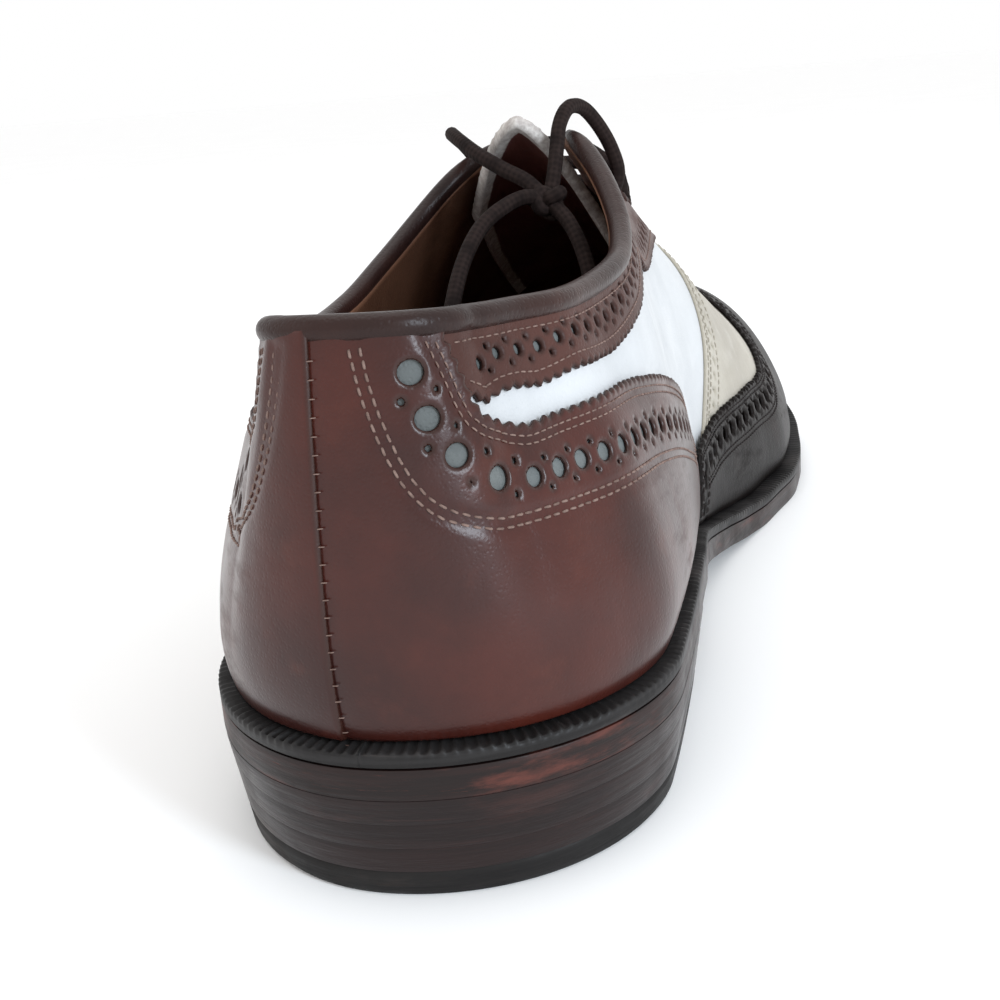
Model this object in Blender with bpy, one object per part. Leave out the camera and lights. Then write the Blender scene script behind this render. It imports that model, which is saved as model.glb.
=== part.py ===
"""Full-brogue spectator Oxford, the left shoe of a pair, standing empty on its sole.

Frame: metres, +Z up, toe toward -Y, outer side of the foot toward +X. The origin is at the middle of the
underside of the bounding box. Along the shoe a station is the distance forward from the rearmost point of
the welt. A turn goes from 0 at the welt to 1 at the ridge, the line over the middle of the foot.
"""
import math

import bmesh
import bpy
from mathutils import Vector

# Driving dimensions of the sole
SOLE_LENGTH = 0.306
HEEL_WELT = 0.0045
SIDE_WELT = 0.0045
BALL_WELT = 0.0065
HEEL_HEIGHT = 0.0175
HEEL_LENGTH = 0.077
HEEL_TAPER = 0.0026
BREAST_HOLLOW = 0.004
TOP_LIFT = 0.0045
LIFT_COUNT = 3
OUTSOLE = 0.005
WELT = 0.003
TOE_SPRING = 0.012
INSOLE = 0.0035

# Driving dimensions of the last, seen from above and from the side
BALL_HALF_INNER = 0.0480
BALL_HALF_OUTER = 0.0505
HEEL_ROUND = 0.0360
TOE_ROUND = 0.0600
INSTEP_HEIGHT = 0.1060
BACK_HEIGHT = 0.0620
CREST_START = 0.0200
CREST_END = 0.0380
CREST_BLEND = 0.0080

# Driving dimensions of the leather
WALL = 0.0020
OVERLAY = 0.0012
GAP = 0.0003
SKIN_GAP = 0.0005
WING_GAP = 0.0010
BEAD = 0.0040
BAND = 0.0125
BAND_START = 0.0154
STAY_WIDTH = 0.0135
STAY_ROUND = 0.06
BAND_LEAST = 0.012
TONGUE = 0.0025
TONGUE_GAP = 0.0013
TONGUE_EDGE_INNER = 0.55
TONGUE_EDGE_OUTER = 0.66
FACING_TOP = 0.1180
THROAT = 0.1830
FACING_GAP = 0.0085
FACING_FOOT = 0.0030
THROAT_ROUND = 0.0080
FOXING_FRONT = 0.1215
STAY_FRONT = 0.1775
TONGUE_TOP = 0.1060
TONGUE_ROUND = 0.0240
TONGUE_END = 0.1930
LACE = 0.0030
LACE_STEP = 0.0060
BAR_COUNT = 4
BAR_FIRST = 0.1385
BAR_LAST = 0.1700
EYELET_IN = 0.0066
KNOT = 0.0085

SHARP_TURN = 40
UPPER_COLUMNS = 33
LOWER_SHARE = 0.60
UPPER_SHARE = 0.75
SEAM_AT = 0.012
SEAM_HALF = 0.001

INNER = -1
OUTER = 1

# Outline of the feather line: share of the length, then half widths as shares of those at the ball
WIDTHS = [
    # share, inner, outer
    (0.00, 0.76, 0.62),
    (0.14, 0.78, 0.65),
    (0.27, 0.76, 0.66),
    (0.41, 0.69, 0.72),
    (0.48, 0.725, 0.78),
    (0.54, 0.80, 0.85),
    (0.61, 0.90, 0.95),
    (0.68, 0.985, 1.00),
    (0.72, 0.990, 0.990),
    (0.81, 0.935, 0.935),
    (0.91, 0.855, 0.850),
    (1.00, 0.800, 0.760),
]

# Underside of the sole: share of the sole's length, height as a share of the heel's
SOLE_LINE = [
    (0.00, 1.00),
    (0.26, 1.00),
    (0.34, 0.76),
    (0.44, 0.36),
    (0.53, 0.08),
    (0.58, 0.00),
    (0.72, 0.00),
]
SPRING_START = 0.72
SPRING_POWER = 1.8

# Ridge of the last: share, height and sideways place as shares of instep height and inner ball width
RIDGE = [
    # share, height, sideways
    (0.10, 1.260, -0.06),
    (0.20, 1.215, -0.07),
    (0.30, 1.115, -0.09),
    (0.39, 1.000, -0.09),
    (0.46, 0.920, -0.09),
    (0.52, 0.835, -0.08),
    (0.59, 0.755, -0.06),
    (0.65, 0.675, -0.05),
    (0.72, 0.590, -0.05),
    (0.80, 0.520, -0.06),
    (0.90, 0.450, -0.09),
]

# Fullness of the sections: share of the length, power of the curve, bulge over the welt as a share of it
FULLNESS = [
    # share, power, bulge
    (0.015, 2.20, 0.60),
    (0.030, 1.50, 0.75),
    (0.050, 1.12, 0.90),
    (0.080, 1.08, 1.00),
    (0.120, 1.25, 1.10),
    (0.165, 1.40, 1.05),
    (0.230, 1.70, 0.90),
    (0.280, 1.80, 0.70),
    (0.340, 1.85, 0.55),
    (0.420, 1.95, 0.45),
    (0.520, 2.10, 0.40),
    (0.590, 1.98, 0.50),
    (0.650, 1.82, 0.55),
    (0.750, 1.80, 0.50),
    (0.880, 2.15, 0.40),
    (1.000, 2.40, 0.25),
]
BULGE = 0.0042
BULGE_AT = 0.18

# Topline: share of the length, heights above the heel seat as shares of the back height
TOPLINE = [
    # share, inner, outer
    (0.02, 1.000, 1.000),
    (0.08, 0.970, 0.950),
    (0.15, 0.956, 0.885),
    (0.23, 0.985, 0.825),
    (0.27, 1.040, 0.850),
    (0.315, 1.150, 0.930),
    (0.36, 1.280, 1.055),
    (0.39, 1.400, 1.220),
    (0.42, 1.540, 1.450),
]

# Upper edge of the foxing: share of the length, heights as shares of the back height
FOXING_TOP = [
    # share, inner, outer
    (0.0360, 1.100, 1.100),
    (0.0410, 0.900, 0.900),
    (0.0450, 0.760, 0.760),
    (0.055, 0.720, 0.715),
    (0.070, 0.692, 0.690),
    (0.110, 0.695, 0.680),
    (0.150, 0.688, 0.650),
    (0.195, 0.657, 0.600),
    (0.253, 0.583, 0.530),
    (0.310, 0.470, 0.430),
    (0.360, 0.330, 0.310),
    (0.400, 0.180, 0.170),
]

# Rear edge of the wingtip: turn, station as a share of the sole's length on the inner and outer side
WING_EDGE = [
    # turn, inner, outer
    (0.00, 0.402, 0.402),
    (0.25, 0.404, 0.404),
    (0.32, 0.470, 0.465),
    (0.42, 0.575, 0.565),
    (0.55, 0.680, 0.670),
    (0.68, 0.745, 0.740),
    (0.80, 0.765, 0.762),
    (0.90, 0.735, 0.735),
    (1.00, 0.655, 0.655),
]

# Strands of the lace: sideways place, station and height in millimetres
KNOT_AT = (-11.4, 98.3, 92.4)
STRANDS = {
    "lace_arch_inner": [
        (-20.2, 128.0, 95.2), (-19.0, 127.0, 100.6), (-16.8, 124.6, 105.6), (-14.6, 120.4, 109.1),
        (-12.9, 114.5, 109.4), (-12.0, 109.3, 106.5), (-12.0, 105.2, 102.2), (-12.0, 101.3, 97.6),
    ],
    "lace_arch_outer": [
        (11.1, 128.0, 99.9), (13.4, 126.2, 103.6), (13.9, 121.2, 105.6), (10.4, 113.8, 104.6),
        (4.6, 106.8, 101.8), (-1.6, 102.6, 98.8), (-6.6, 100.5, 96.4),
    ],
    "lace_tail_long": [
        (-7.4, 95.5, 93.8), (-3.8, 90.8, 92.4), (-0.6, 84.8, 89.2), (1.1, 76.7, 83.4), (1.6, 68.3, 75.4),
        (2.0, 60.0, 64.3), (3.0, 54.0, 52.0), (4.0, 49.5, 40.5), (4.5, 44.0, 32.6), (3.5, 36.0, 31.2),
    ],
    "lace_tail_short": [
        (-15.2, 95.5, 89.2), (-18.4, 92.2, 84.2), (-20.6, 88.6, 77.8), (-22.0, 85.0, 68.0),
        (-23.0, 81.5, 57.0), (-23.0, 77.5, 45.0), (-21.5, 72.5, 35.0), (-18.0, 65.5, 31.2),
    ],
}

UPPER_LENGTH = SOLE_LENGTH - HEEL_WELT - BALL_WELT
SEAT = HEEL_HEIGHT + OUTSOLE + WELT
EDGE_DROP = BEAD + 2 * GAP


def smooth(rows, x, column=1):
    """Value of a table's column at x, on a monotone cubic."""
    xs = [row[0] for row in rows]
    ys = [row[column] for row in rows]
    if x <= xs[0]:
        return ys[0]
    if x >= xs[-1]:
        return ys[-1]
    last = len(xs) - 1
    steps = [xs[i + 1] - xs[i] for i in range(last)]
    rises = [(ys[i + 1] - ys[i]) / steps[i] for i in range(last)]
    slopes = [rises[0]] + [0.0] * (last - 1) + [rises[-1]]
    for i in range(1, last):
        if rises[i - 1] * rises[i] > 0:
            before = 2 * steps[i] + steps[i - 1]
            after = steps[i] + 2 * steps[i - 1]
            slopes[i] = (before + after) / (before / rises[i - 1] + after / rises[i])
    i = next(k for k in range(last) if x <= xs[k + 1])
    t = (x - xs[i]) / steps[i]
    start = (1 + 2 * t) * (1 - t) ** 2 * ys[i] + t * (1 - t) ** 2 * steps[i] * slopes[i]
    return start + t * t * (3 - 2 * t) * ys[i + 1] + t * t * (t - 1) * steps[i] * slopes[i + 1]


def ease(t):
    """Smooth step from 0 to 1."""
    t = min(1.0, max(0.0, t))
    return t * t * (3 - 2 * t)


def rounding(gap, reach):
    """Share of full width at a gap from the end of an elliptical end of this reach."""
    u = max(0.0, 1 - gap / reach)
    return math.sqrt(max(0.0, 1 - u * u))


def along_at(station):
    """Place along the outline, from 0 at the back to 1 at the toe, of a station."""
    share = (station - HEEL_WELT) / UPPER_LENGTH
    return math.acos(1 - 2 * min(1.0, max(0.0, share))) / math.pi


def feather(along, side):
    """Feather line, where the upper meets the welt: sideways place and station."""
    share = (1 - math.cos(math.pi * along)) / 2
    column = 1 if side == INNER else 2
    ball = BALL_HALF_INNER if side == INNER else BALL_HALF_OUTER
    half = ball * smooth(WIDTHS, share, column)
    half *= rounding(share * UPPER_LENGTH, HEEL_ROUND)
    half *= rounding((1 - share) * UPPER_LENGTH, TOE_ROUND)
    return crest_side(HEEL_WELT + share * UPPER_LENGTH) * ease((share - 0.6) / 0.4) + side * half, \
        HEEL_WELT + share * UPPER_LENGTH


def crest_side(station):
    return BALL_HALF_INNER * smooth(RIDGE, station / SOLE_LENGTH, 2)


def outward(along, side):
    """Direction out of the outline, seen from above."""
    step = 0.001
    if along < step:
        return 0.0, -1.0
    if along > 1 - step:
        return 0.0, 1.0
    x0, a0 = feather(along - step, side)
    x1, a1 = feather(along + step, side)
    length = math.hypot(x1 - x0, a1 - a0)
    return side * (a1 - a0) / length, -side * (x1 - x0) / length


def outline(along, side, extra):
    """Feather line moved outward by extra: sideways place and station."""
    x, a = feather(along, side)
    out_x, out_a = outward(along, side)
    return x + out_x * extra, a + out_a * extra


def welt_reach(along):
    """How far the welt stands out past the upper."""
    share = (1 - math.cos(math.pi * along)) / 2
    return SIDE_WELT + (BALL_WELT - SIDE_WELT) * ease((share - 0.30) / 0.35)


def ground(station):
    """Height of the sole's underside."""
    share = station / SOLE_LENGTH
    spring = max(0.0, (share - SPRING_START) / (1 - SPRING_START))
    return HEEL_HEIGHT * smooth(SOLE_LINE, share) + TOE_SPRING * spring ** SPRING_POWER


def welt_top(station):
    return ground(station) + OUTSOLE + WELT


def crest_station(station):
    """Station of the ridge point that a section leans to, held back from both ends of the last."""
    def hinge(value):
        return CREST_BLEND * math.log1p(math.exp(value / CREST_BLEND))
    end = SOLE_LENGTH - BALL_WELT - CREST_END
    return end - hinge(end - (CREST_START + hinge(station - CREST_START)))


def crest_height(station):
    return INSTEP_HEIGHT * smooth(RIDGE, station / SOLE_LENGTH)


def last_point(along, side, turn):
    """Point on the outside of the upper, as sideways place, station and height."""
    x, a = feather(along, side)
    foot = welt_top(a)
    top_a = crest_station(a)
    top_x = crest_side(top_a)
    top = crest_height(top_a)
    slope = (crest_height(top_a + 0.002) - crest_height(top_a - 0.002)) / 0.004
    power = smooth(FULLNESS, a / SOLE_LENGTH)
    angle = min(turn, 1.0) * math.pi / 2
    lean = 1 - max(0.0, math.cos(angle)) ** (2 / power)
    rise = max(0.0, math.sin(angle)) ** (2 / power)
    swell = BULGE * smooth(FULLNESS, a / SOLE_LENGTH, 2) * rise / BULGE_AT * math.exp(1 - rise / BULGE_AT)
    swell *= 1 - rise
    out_x, out_a = outward(along, side)
    at_x = x + (top_x - x) * lean + out_x * swell
    at_a = a + (top_a - a) * lean + out_a * swell
    height = foot + (top - foot) * rise + slope * (at_a - top_a) * rise * rise
    return Vector((at_x, at_a, height))


def solve(test, low=0.0, high=1.0):
    """Turn at which a rising test crosses zero."""
    if test(high) <= 0:
        return high
    for _ in range(40):
        middle = (low + high) / 2
        if test(middle) > 0:
            high = middle
        else:
            low = middle
    return (low + high) / 2


def topline(station, side):
    column = 1 if side == INNER else 2
    return SEAT + BACK_HEIGHT * smooth(TOPLINE, station / SOLE_LENGTH, column)


def topline_turn(along, side, drop):
    """Turn of the topline less a drop, measured square to the line."""
    def above(turn):
        point = last_point(along, side, turn)
        slope = (topline(point.y + 0.001, side) - topline(point.y - 0.001, side)) / 0.002
        return point.z - topline(point.y, side) + drop * math.hypot(1, slope)
    return solve(above)


def facing_half(station):
    """Half of the gap between the facings."""
    if station >= THROAT:
        return 0.0
    open_share = min(1.0, (THROAT - station) / (THROAT - FACING_TOP))
    half = FACING_FOOT + (FACING_GAP - FACING_FOOT) * open_share
    return half * rounding(THROAT - station, THROAT_ROUND)


def ridge_turn(along, side, distance):
    """Turn at a sideways distance from the ridge."""
    x, a = feather(along, side)
    if distance <= 0 or a < FACING_TOP / 2:
        return 1.0
    power = smooth(FULLNESS, a / SOLE_LENGTH)
    width = abs(crest_side(crest_station(a)) - x)
    return math.acos(min(1.0, distance / width) ** (power / 2)) / (math.pi / 2)


def facing_turn(along, side):
    return ridge_turn(along, side, facing_half(feather(along, side)[1]))


def stay_low(along, side):
    """Lower edge of the collar band, which turns down beside the facing as the lace stay."""
    band = topline_turn(along, side, BAND)
    beside = ridge_turn(along, side, facing_half(feather(along, side)[1]) + STAY_WIDTH)
    meet = max(0.0, STAY_ROUND - abs(band - beside)) / STAY_ROUND
    corner = min(band, beside) - meet * meet * STAY_ROUND / 4
    return max(corner, foxing_top(along, side) + BAND_LEAST)


def foxing_top(along, side):
    if along > along_at(FOXING_FRONT):
        return 0.0
    return min(height_turn(along, side, FOXING_TOP), topline_turn(along, side, EDGE_DROP))


def edge_turn(along, side, drop):
    """Turn of the upper's free edge: topline at the collar, facing at the lacing, ridge at the vamp."""
    x, a = feather(along, side)
    if a > THROAT:
        return 1.0
    return min(topline_turn(along, side, drop), facing_turn(along, side))


def facing_corner(side):
    """Place along where the middle of the topline's bead reaches the facing."""
    def past(along):
        return topline_turn(along, side, BEAD / 2) - facing_turn(along, side)
    return solve(past, along_at(FACING_TOP - 0.02), along_at(FACING_TOP + 0.02))


def height_turn(along, side, rows):
    """Turn at which the surface reaches a table's height."""
    column = 1 if side == INNER else 2

    def above(turn):
        point = last_point(along, side, turn)
        return point.z - SEAT - BACK_HEIGHT * smooth(rows, point.y / SOLE_LENGTH, column)
    return solve(above)


def middle():
    """Sideways middle of the welt, which is the middle of the bounding box."""
    steps = [i / 400 for i in range(401)]
    inner = min(outline(s, INNER, welt_reach(s))[0] for s in steps)
    outer = max(outline(s, OUTER, welt_reach(s))[0] for s in steps)
    return (inner + outer) / 2


MIDDLE = middle()


def place(x, station, height):
    """Point in the part's frame."""
    return Vector((x - MIDDLE, SOLE_LENGTH / 2 - station, height))


def material(name, colour, roughness):
    finish = bpy.data.materials.new(name)
    finish.use_nodes = True
    shader = finish.node_tree.nodes["Principled BSDF"]
    shader.inputs["Base Color"].default_value = (*colour, 1)
    shader.inputs["Roughness"].default_value = roughness
    shader.inputs["Metallic"].default_value = 0.0
    return finish


def add_object(name, points, faces, finish):
    """Mesh object with smooth shading, sharp at edges that turn by more than SHARP_TURN degrees."""
    mesh = bpy.data.meshes.new(name)
    mesh.from_pydata(points, [], faces)
    mesh.validate()
    mesh.materials.append(finish)
    mesh.shade_smooth()
    mesh.set_sharp_from_angle(angle=math.radians(SHARP_TURN))
    thing = bpy.data.objects.new(name, mesh)
    bpy.context.collection.objects.link(thing)
    return thing


def weld(grids):
    """Points and faces of grids of points, with points that coincide made one."""
    points = []
    index = {}
    faces = []

    def number(point):
        key = tuple(round(value * 1e6) for value in point)
        if key not in index:
            index[key] = len(points)
            points.append(Vector(point))
        return index[key]

    for grid, flip in grids:
        numbers = [[number(point) for point in row] for row in grid]
        for i in range(len(numbers) - 1):
            for j in range(len(numbers[0]) - 1):
                start, side, end, up = numbers[i][j], numbers[i + 1][j], numbers[i + 1][j + 1], numbers[i][j + 1]
                for corners in ([start, side, end], [start, end, up]):
                    if flip:
                        corners.reverse()
                    if len(set(corners)) == 3:
                        faces.append(corners)
    return points, faces


def vertex_normals(points, faces):
    normals = [Vector((0, 0, 0)) for _ in points]
    for face in faces:
        ring = [points[c] for c in face]
        normal = Vector((0, 0, 0))
        for k, point in enumerate(ring):
            normal += ring[k - 1].cross(point)
        for c in face:
            normals[c] += normal
    return [normal.normalized() for normal in normals]


def shell(name, grids, inside, outside, finish, floor=SKIN_GAP):
    """Closed sheet between two distances out from the grids' surface, never lower than the welt."""
    points, faces = weld(grids)
    normals = vertex_normals(points, faces)
    count = len(points)

    def layer(distance):
        moved = []
        for point, normal in zip(points, normals):
            at = point + normal * distance
            at.z = max(at.z, welt_top(at.y) + floor)
            moved.append(place(*at))
        return moved

    edges = {}
    for face in faces:
        for k, corner in enumerate(face):
            edges[(face[k - 1], corner)] = edges.get((face[k - 1], corner), 0) + 1
    rim = [(a, b) for a, b in edges if (b, a) not in edges]
    # place() turns the station around, which mirrors the faces
    solid = [list(reversed(face)) for face in faces]
    solid += [[c + count for c in face] for face in faces]
    solid += [[a, b, b + count, a + count] for a, b in rim]
    return add_object(name, layer(outside) + layer(inside), solid, finish)


def columns(stations, side, turns):
    """Grid of surface points: at each place along, a column with a row at each of its turns. A place below
    zero is past the back of the heel, on the other side."""
    grid = []
    for along in stations:
        there = side if along > 0 else -side if along < 0 else OUTER
        grid.append([last_point(abs(along), there, turn) for turn in turns(abs(along), there)])
    return grid


def wall_turns(along, side):
    """Rows of the wall, placed so that the overlays' edges fall on rows."""
    top = edge_turn(along, side, EDGE_DROP)
    lower = top * LOWER_SHARE
    upper = top * UPPER_SHARE
    if along <= along_at(FOXING_FRONT):
        lower = foxing_top(along, side)
    if along_at(BAND_START) <= along <= along_at(STAY_FRONT):
        upper = stay_low(along, side)
    return wall_rows(lower, min(top, max(upper, lower)), top)


def wall_rows(lower, upper, top):
    return spread(0.0, lower, 4) + spread(lower, upper, 2)[1:] + spread(upper, top, 4)[1:]


def spread(start, end, count):
    return [start + (end - start) * i / count for i in range(count + 1)]


def both_sides(make):
    """Grids for both sides, with faces of both pointing out."""
    return [(make(INNER), True), (make(OUTER), False)]


def crossing(along, extra, hollow, count):
    """Row of places from the inner to the outer edge of an outline, its middle drawn back by hollow."""
    x0, a0 = outline(along, INNER, extra(along))
    x1, a1 = outline(along, OUTER, extra(along))
    row = []
    for t in spread(0.0, 1.0, count):
        row.append((x0 + (x1 - x0) * t, a0 + (a1 - a0) * t - hollow * 4 * t * (1 - t)))
    return row


def plate(name, extra, low, high, finish, end=1.0, count=40, hollow=0.0, across=1):
    """Closed plate inside the feather line moved by extra(along), between two heights."""
    rows = []
    for along in spread(0.0, end, count):
        draw = hollow * ease(3 * along / end - 2)
        rows.append(crossing(along, extra, draw, across))
    top = [[place(x, a, high(a)) for x, a in row] for row in rows]
    bottom = [[place(x, a, low(a)) for x, a in row] for row in rows]
    inner = [[bottom[i][0], top[i][0]] for i in range(count + 1)]
    outer = [[bottom[i][-1], top[i][-1]] for i in range(count + 1)]
    front = [[bottom[-1][j], top[-1][j]] for j in range(across + 1)]
    points, faces = weld([(top, False), (bottom, True), (inner, False), (outer, True), (front, False)])
    return add_object(name, points, faces, finish)


def ring(name, inside, outside, low, high, finish, count=40):
    """Closed ring along the whole outline between two offsets of the feather line and two heights."""
    grids = []
    for side, flip in ((INNER, False), (OUTER, True)):
        grid = []
        for along in spread(0.0, 1.0, count):
            outer = outline(along, side, outside(along))
            inner = outline(along, side, inside)
            grid.append([place(*outer, low(outer[1])), place(*outer, high(outer[1])),
                         place(*inner, high(inner[1])), place(*inner, low(inner[1])),
                         place(*outer, low(outer[1]))])
        grids.append((grid, flip))
    points, faces = weld(grids)
    return add_object(name, points, faces, finish)


def facing_out(along, side, turn):
    """Unit normal of the last's surface."""
    along = min(0.99, max(0.01, along))
    step = 0.004
    rise = last_point(along, side, min(1.0, turn + step)) - last_point(along, side, turn - step)
    run = last_point(along + step, side, turn) - last_point(along - step, side, turn)
    normal = run.cross(rise) * side
    return normal.normalized()


def over_last(along, side, turn, distance):
    """Point of the part at a distance out from the last's surface."""
    return place(*(last_point(along, side, turn) + facing_out(along, side, turn) * distance))


def cord(name, points, diameter, finish):
    """Round cord through the points, with closed ends."""
    curve = bpy.data.curves.new(name, "CURVE")
    curve.dimensions = "3D"
    curve.bevel_depth = diameter / 2
    curve.bevel_resolution = 2
    curve.use_fill_caps = True
    spline = curve.splines.new("POLY")
    spline.points.add(len(points) - 1)
    for slot, point in zip(spline.points, points):
        slot.co = (*point, 1)
    curve.materials.append(finish)
    thing = bpy.data.objects.new(name, curve)
    bpy.context.collection.objects.link(thing)
    return thing


def build_sole(edge_leather, rubber, welt_leather, insole_leather):
    """Heel lifts, outsole, welt and insole."""
    lift = (HEEL_HEIGHT - TOP_LIFT) / LIFT_COUNT
    levels = [0.0] + [TOP_LIFT + lift * i for i in range(LIFT_COUNT + 1)]
    breast = along_at(HEEL_LENGTH)
    for i in range(LIFT_COUNT + 1):
        name = "top_lift" if i == 0 else f"heel_lift_{i}"
        taper = HEEL_TAPER * (1 - (levels[i] + levels[i + 1]) / 2 / HEEL_HEIGHT)
        low = levels[i]
        high = levels[i + 1] - GAP
        plate(name, lambda along, taper=taper: welt_reach(along) - taper, lambda a, low=low: low,
              lambda a, high=high: high, rubber if i == 0 else edge_leather, end=breast, count=12,
              hollow=BREAST_HOLLOW, across=4)
    plate("outsole", welt_reach, ground, lambda a: ground(a) + OUTSOLE, edge_leather, count=44)
    ring("welt", -WALL - GAP, welt_reach, lambda a: ground(a) + OUTSOLE + GAP, welt_top, welt_leather)
    plate("insole", lambda along: -WALL - 3 * GAP, lambda a: ground(a) + OUTSOLE + GAP,
          lambda a: welt_top(a) + INSOLE, insole_leather, count=44)


def build_upper(white, brown, dark, lining, binding):
    """Hollow upper, its overlays, the bound topline and the tongue."""
    heel = [0.0110, 0.0126, 0.0138]
    corner = spread(FACING_TOP - 0.008, FACING_TOP + 0.010, 5)
    throat = [THROAT - THROAT_ROUND, THROAT - 0.003, THROAT, THROAT + 0.0005]
    stations = [along_at(a) for a in heel + corner + throat + [FOXING_FRONT, BAND_START, STAY_FRONT]]
    seam = {SEAM_AT - SEAM_HALF, SEAM_AT + SEAM_HALF}
    stops = sorted(set(spread(0.0, 1.0, UPPER_COLUMNS)) | set(stations) | seam)
    wall = both_sides(lambda side: columns(stops, side, wall_turns))
    shell("upper", wall, -WALL, 0.0, white)

    for side, word in ((INNER, "inner"), (OUTER, "outer")):
        flip = side == INNER

        if side == INNER:
            part_stops = [SEAM_HALF - SEAM_AT] + [s for s in stops if s <= along_at(FOXING_FRONT)]
        else:
            part_stops = [s for s in stops if SEAM_AT + SEAM_HALF <= s <= along_at(FOXING_FRONT)]
        grid = columns(part_stops, side, lambda s, k: spread(0.0, foxing_top(s, k), 4))
        shell(f"foxing_{word}", [(grid, flip)], SKIN_GAP, SKIN_GAP + OVERLAY, brown)

        part_stops = [s for s in stops if along_at(BAND_START) <= s <= along_at(STAY_FRONT)]
        grid = columns(part_stops, side, lambda s, k: wall_turns(s, k)[6:])
        shell(f"stay_{word}", [(grid, flip)], SKIN_GAP, SKIN_GAP + OVERLAY, brown)

    def wing(side):
        turns = wall_rows(LOWER_SHARE, UPPER_SHARE, 1.0)
        column = 1 if side == INNER else 2
        starts = [along_at(SOLE_LENGTH * smooth(WING_EDGE, turn, column)) for turn in turns]
        kept = [min(starts)] + [s for s in stops if s > min(starts)]
        return [[last_point(max(s, start), side, turn) for start, turn in zip(starts, turns)] for s in kept]
    shell("wingtip", both_sides(wing), WING_GAP, WING_GAP + OVERLAY, dark)

    path = []
    for side in (INNER, OUTER):
        half = [over_last(along, side, topline_turn(along, side, BEAD / 2), GAP)
                for along in spread(0.004, facing_corner(side), 24)]
        path += reversed(half) if side == INNER else half
    cord("topline_binding", path, BEAD, binding)

    def tongue_grid(side):
        edge = TONGUE_EDGE_INNER if side == INNER else TONGUE_EDGE_OUTER
        grid = []
        for share in spread(0.0, 1.0, 9):
            row = []
            for turn in spread(edge, 1.0, 5):
                start = TONGUE_TOP + TONGUE_ROUND * ((1 - turn) / (1 - edge)) ** 2
                row.append(last_point(along_at(start + (TONGUE_END - start) * share), side, turn))
            grid.append(row)
        return grid
    shell("tongue", both_sides(tongue_grid), -WALL - TONGUE_GAP - TONGUE, -WALL - TONGUE_GAP, lining)


def lace_path(rows):
    """Smooth route of a strand through its rows of sideways place, station and height in millimetres."""
    knots = [place(*(value / 1000 for value in row)) for row in rows]
    ends = [knots[0] * 2 - knots[1]] + knots + [knots[-1] * 2 - knots[-2]]
    route = []
    for i in range(1, len(ends) - 2):
        before, start, end, after = ends[i - 1:i + 3]
        steps = max(1, round((end - start).length / LACE_STEP))
        for k in range(steps):
            t = k / steps
            route.append(0.5 * (2 * start + (end - before) * t + (2 * before - 5 * start + 4 * end - after) * t ** 2
                                + (3 * start - before - 3 * end + after) * t ** 3))
    return route + [knots[-1]]


def build_laces(finish):
    """Bars across the facing, the two strands over the tongue, their knot and the two tails."""
    height = SKIN_GAP + OVERLAY + GAP + LACE / 2
    for i in range(BAR_COUNT):
        station = BAR_FIRST + (BAR_LAST - BAR_FIRST) * i / (BAR_COUNT - 1)
        along = along_at(station)
        reach = facing_half(station) + EYELET_IN
        shares = spread(0.0, 1.0, 4)
        path = [over_last(along, INNER, ridge_turn(along, INNER, reach * (1 - t)), height) for t in shares[:-1]]
        path += [over_last(along, OUTER, ridge_turn(along, OUTER, reach * t), height) for t in shares[1:]]
        cord(f"lace_bar_{i + 1}", path, LACE, finish)
    for name, rows in STRANDS.items():
        cord(name, lace_path(rows), LACE, finish)
    knot = bpy.data.meshes.new("lace_knot")
    shape = bmesh.new()
    bmesh.ops.create_uvsphere(shape, u_segments=12, v_segments=8, radius=KNOT / 2)
    shape.to_mesh(knot)
    shape.free()
    knot.materials.append(finish)
    knot.shade_smooth()
    thing = bpy.data.objects.new("lace_knot", knot)
    thing.location = place(*(value / 1000 for value in KNOT_AT))
    bpy.context.collection.objects.link(thing)


def build():
    for thing in list(bpy.data.objects):
        bpy.data.objects.remove(thing, do_unlink=True)
    edge_leather = material("edge_leather", (0.055, 0.020, 0.012), 0.35)
    rubber = material("rubber", (0.020, 0.015, 0.013), 0.6)
    welt_leather = material("welt_leather", (0.030, 0.022, 0.018), 0.5)
    white = material("white_leather", (0.80, 0.79, 0.75), 0.4)
    brown = material("brown_leather", (0.115, 0.032, 0.018), 0.3)
    dark = material("dark_leather", (0.018, 0.009, 0.006), 0.25)
    lining = material("lining_leather", (0.42, 0.26, 0.15), 0.6)
    binding = material("binding_leather", (0.060, 0.022, 0.015), 0.35)
    build_sole(edge_leather, rubber, welt_leather, lining)
    build_upper(white, brown, dark, lining, binding)
    build_laces(material("lace_cotton", (0.030, 0.018, 0.015), 0.8))


build()
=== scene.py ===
"""Looks of the left full-brogue spectator Oxford: fine leather pieces laid over the same last as the CAD."""
import math
import random

import bpy
import numpy as np
from mathutils import Matrix, Vector
from mathutils.bvhtree import BVHTree


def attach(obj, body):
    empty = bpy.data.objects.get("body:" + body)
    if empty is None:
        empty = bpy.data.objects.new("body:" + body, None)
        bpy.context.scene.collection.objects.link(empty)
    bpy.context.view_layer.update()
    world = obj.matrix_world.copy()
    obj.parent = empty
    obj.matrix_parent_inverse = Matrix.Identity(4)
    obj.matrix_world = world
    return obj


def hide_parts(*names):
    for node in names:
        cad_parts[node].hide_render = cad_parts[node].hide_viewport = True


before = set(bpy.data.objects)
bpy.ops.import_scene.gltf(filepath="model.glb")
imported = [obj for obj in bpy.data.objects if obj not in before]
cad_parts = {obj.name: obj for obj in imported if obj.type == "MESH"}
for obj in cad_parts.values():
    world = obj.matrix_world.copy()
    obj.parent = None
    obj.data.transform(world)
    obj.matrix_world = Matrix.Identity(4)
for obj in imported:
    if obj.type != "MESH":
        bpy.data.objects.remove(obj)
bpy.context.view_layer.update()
random.seed(7)

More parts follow.
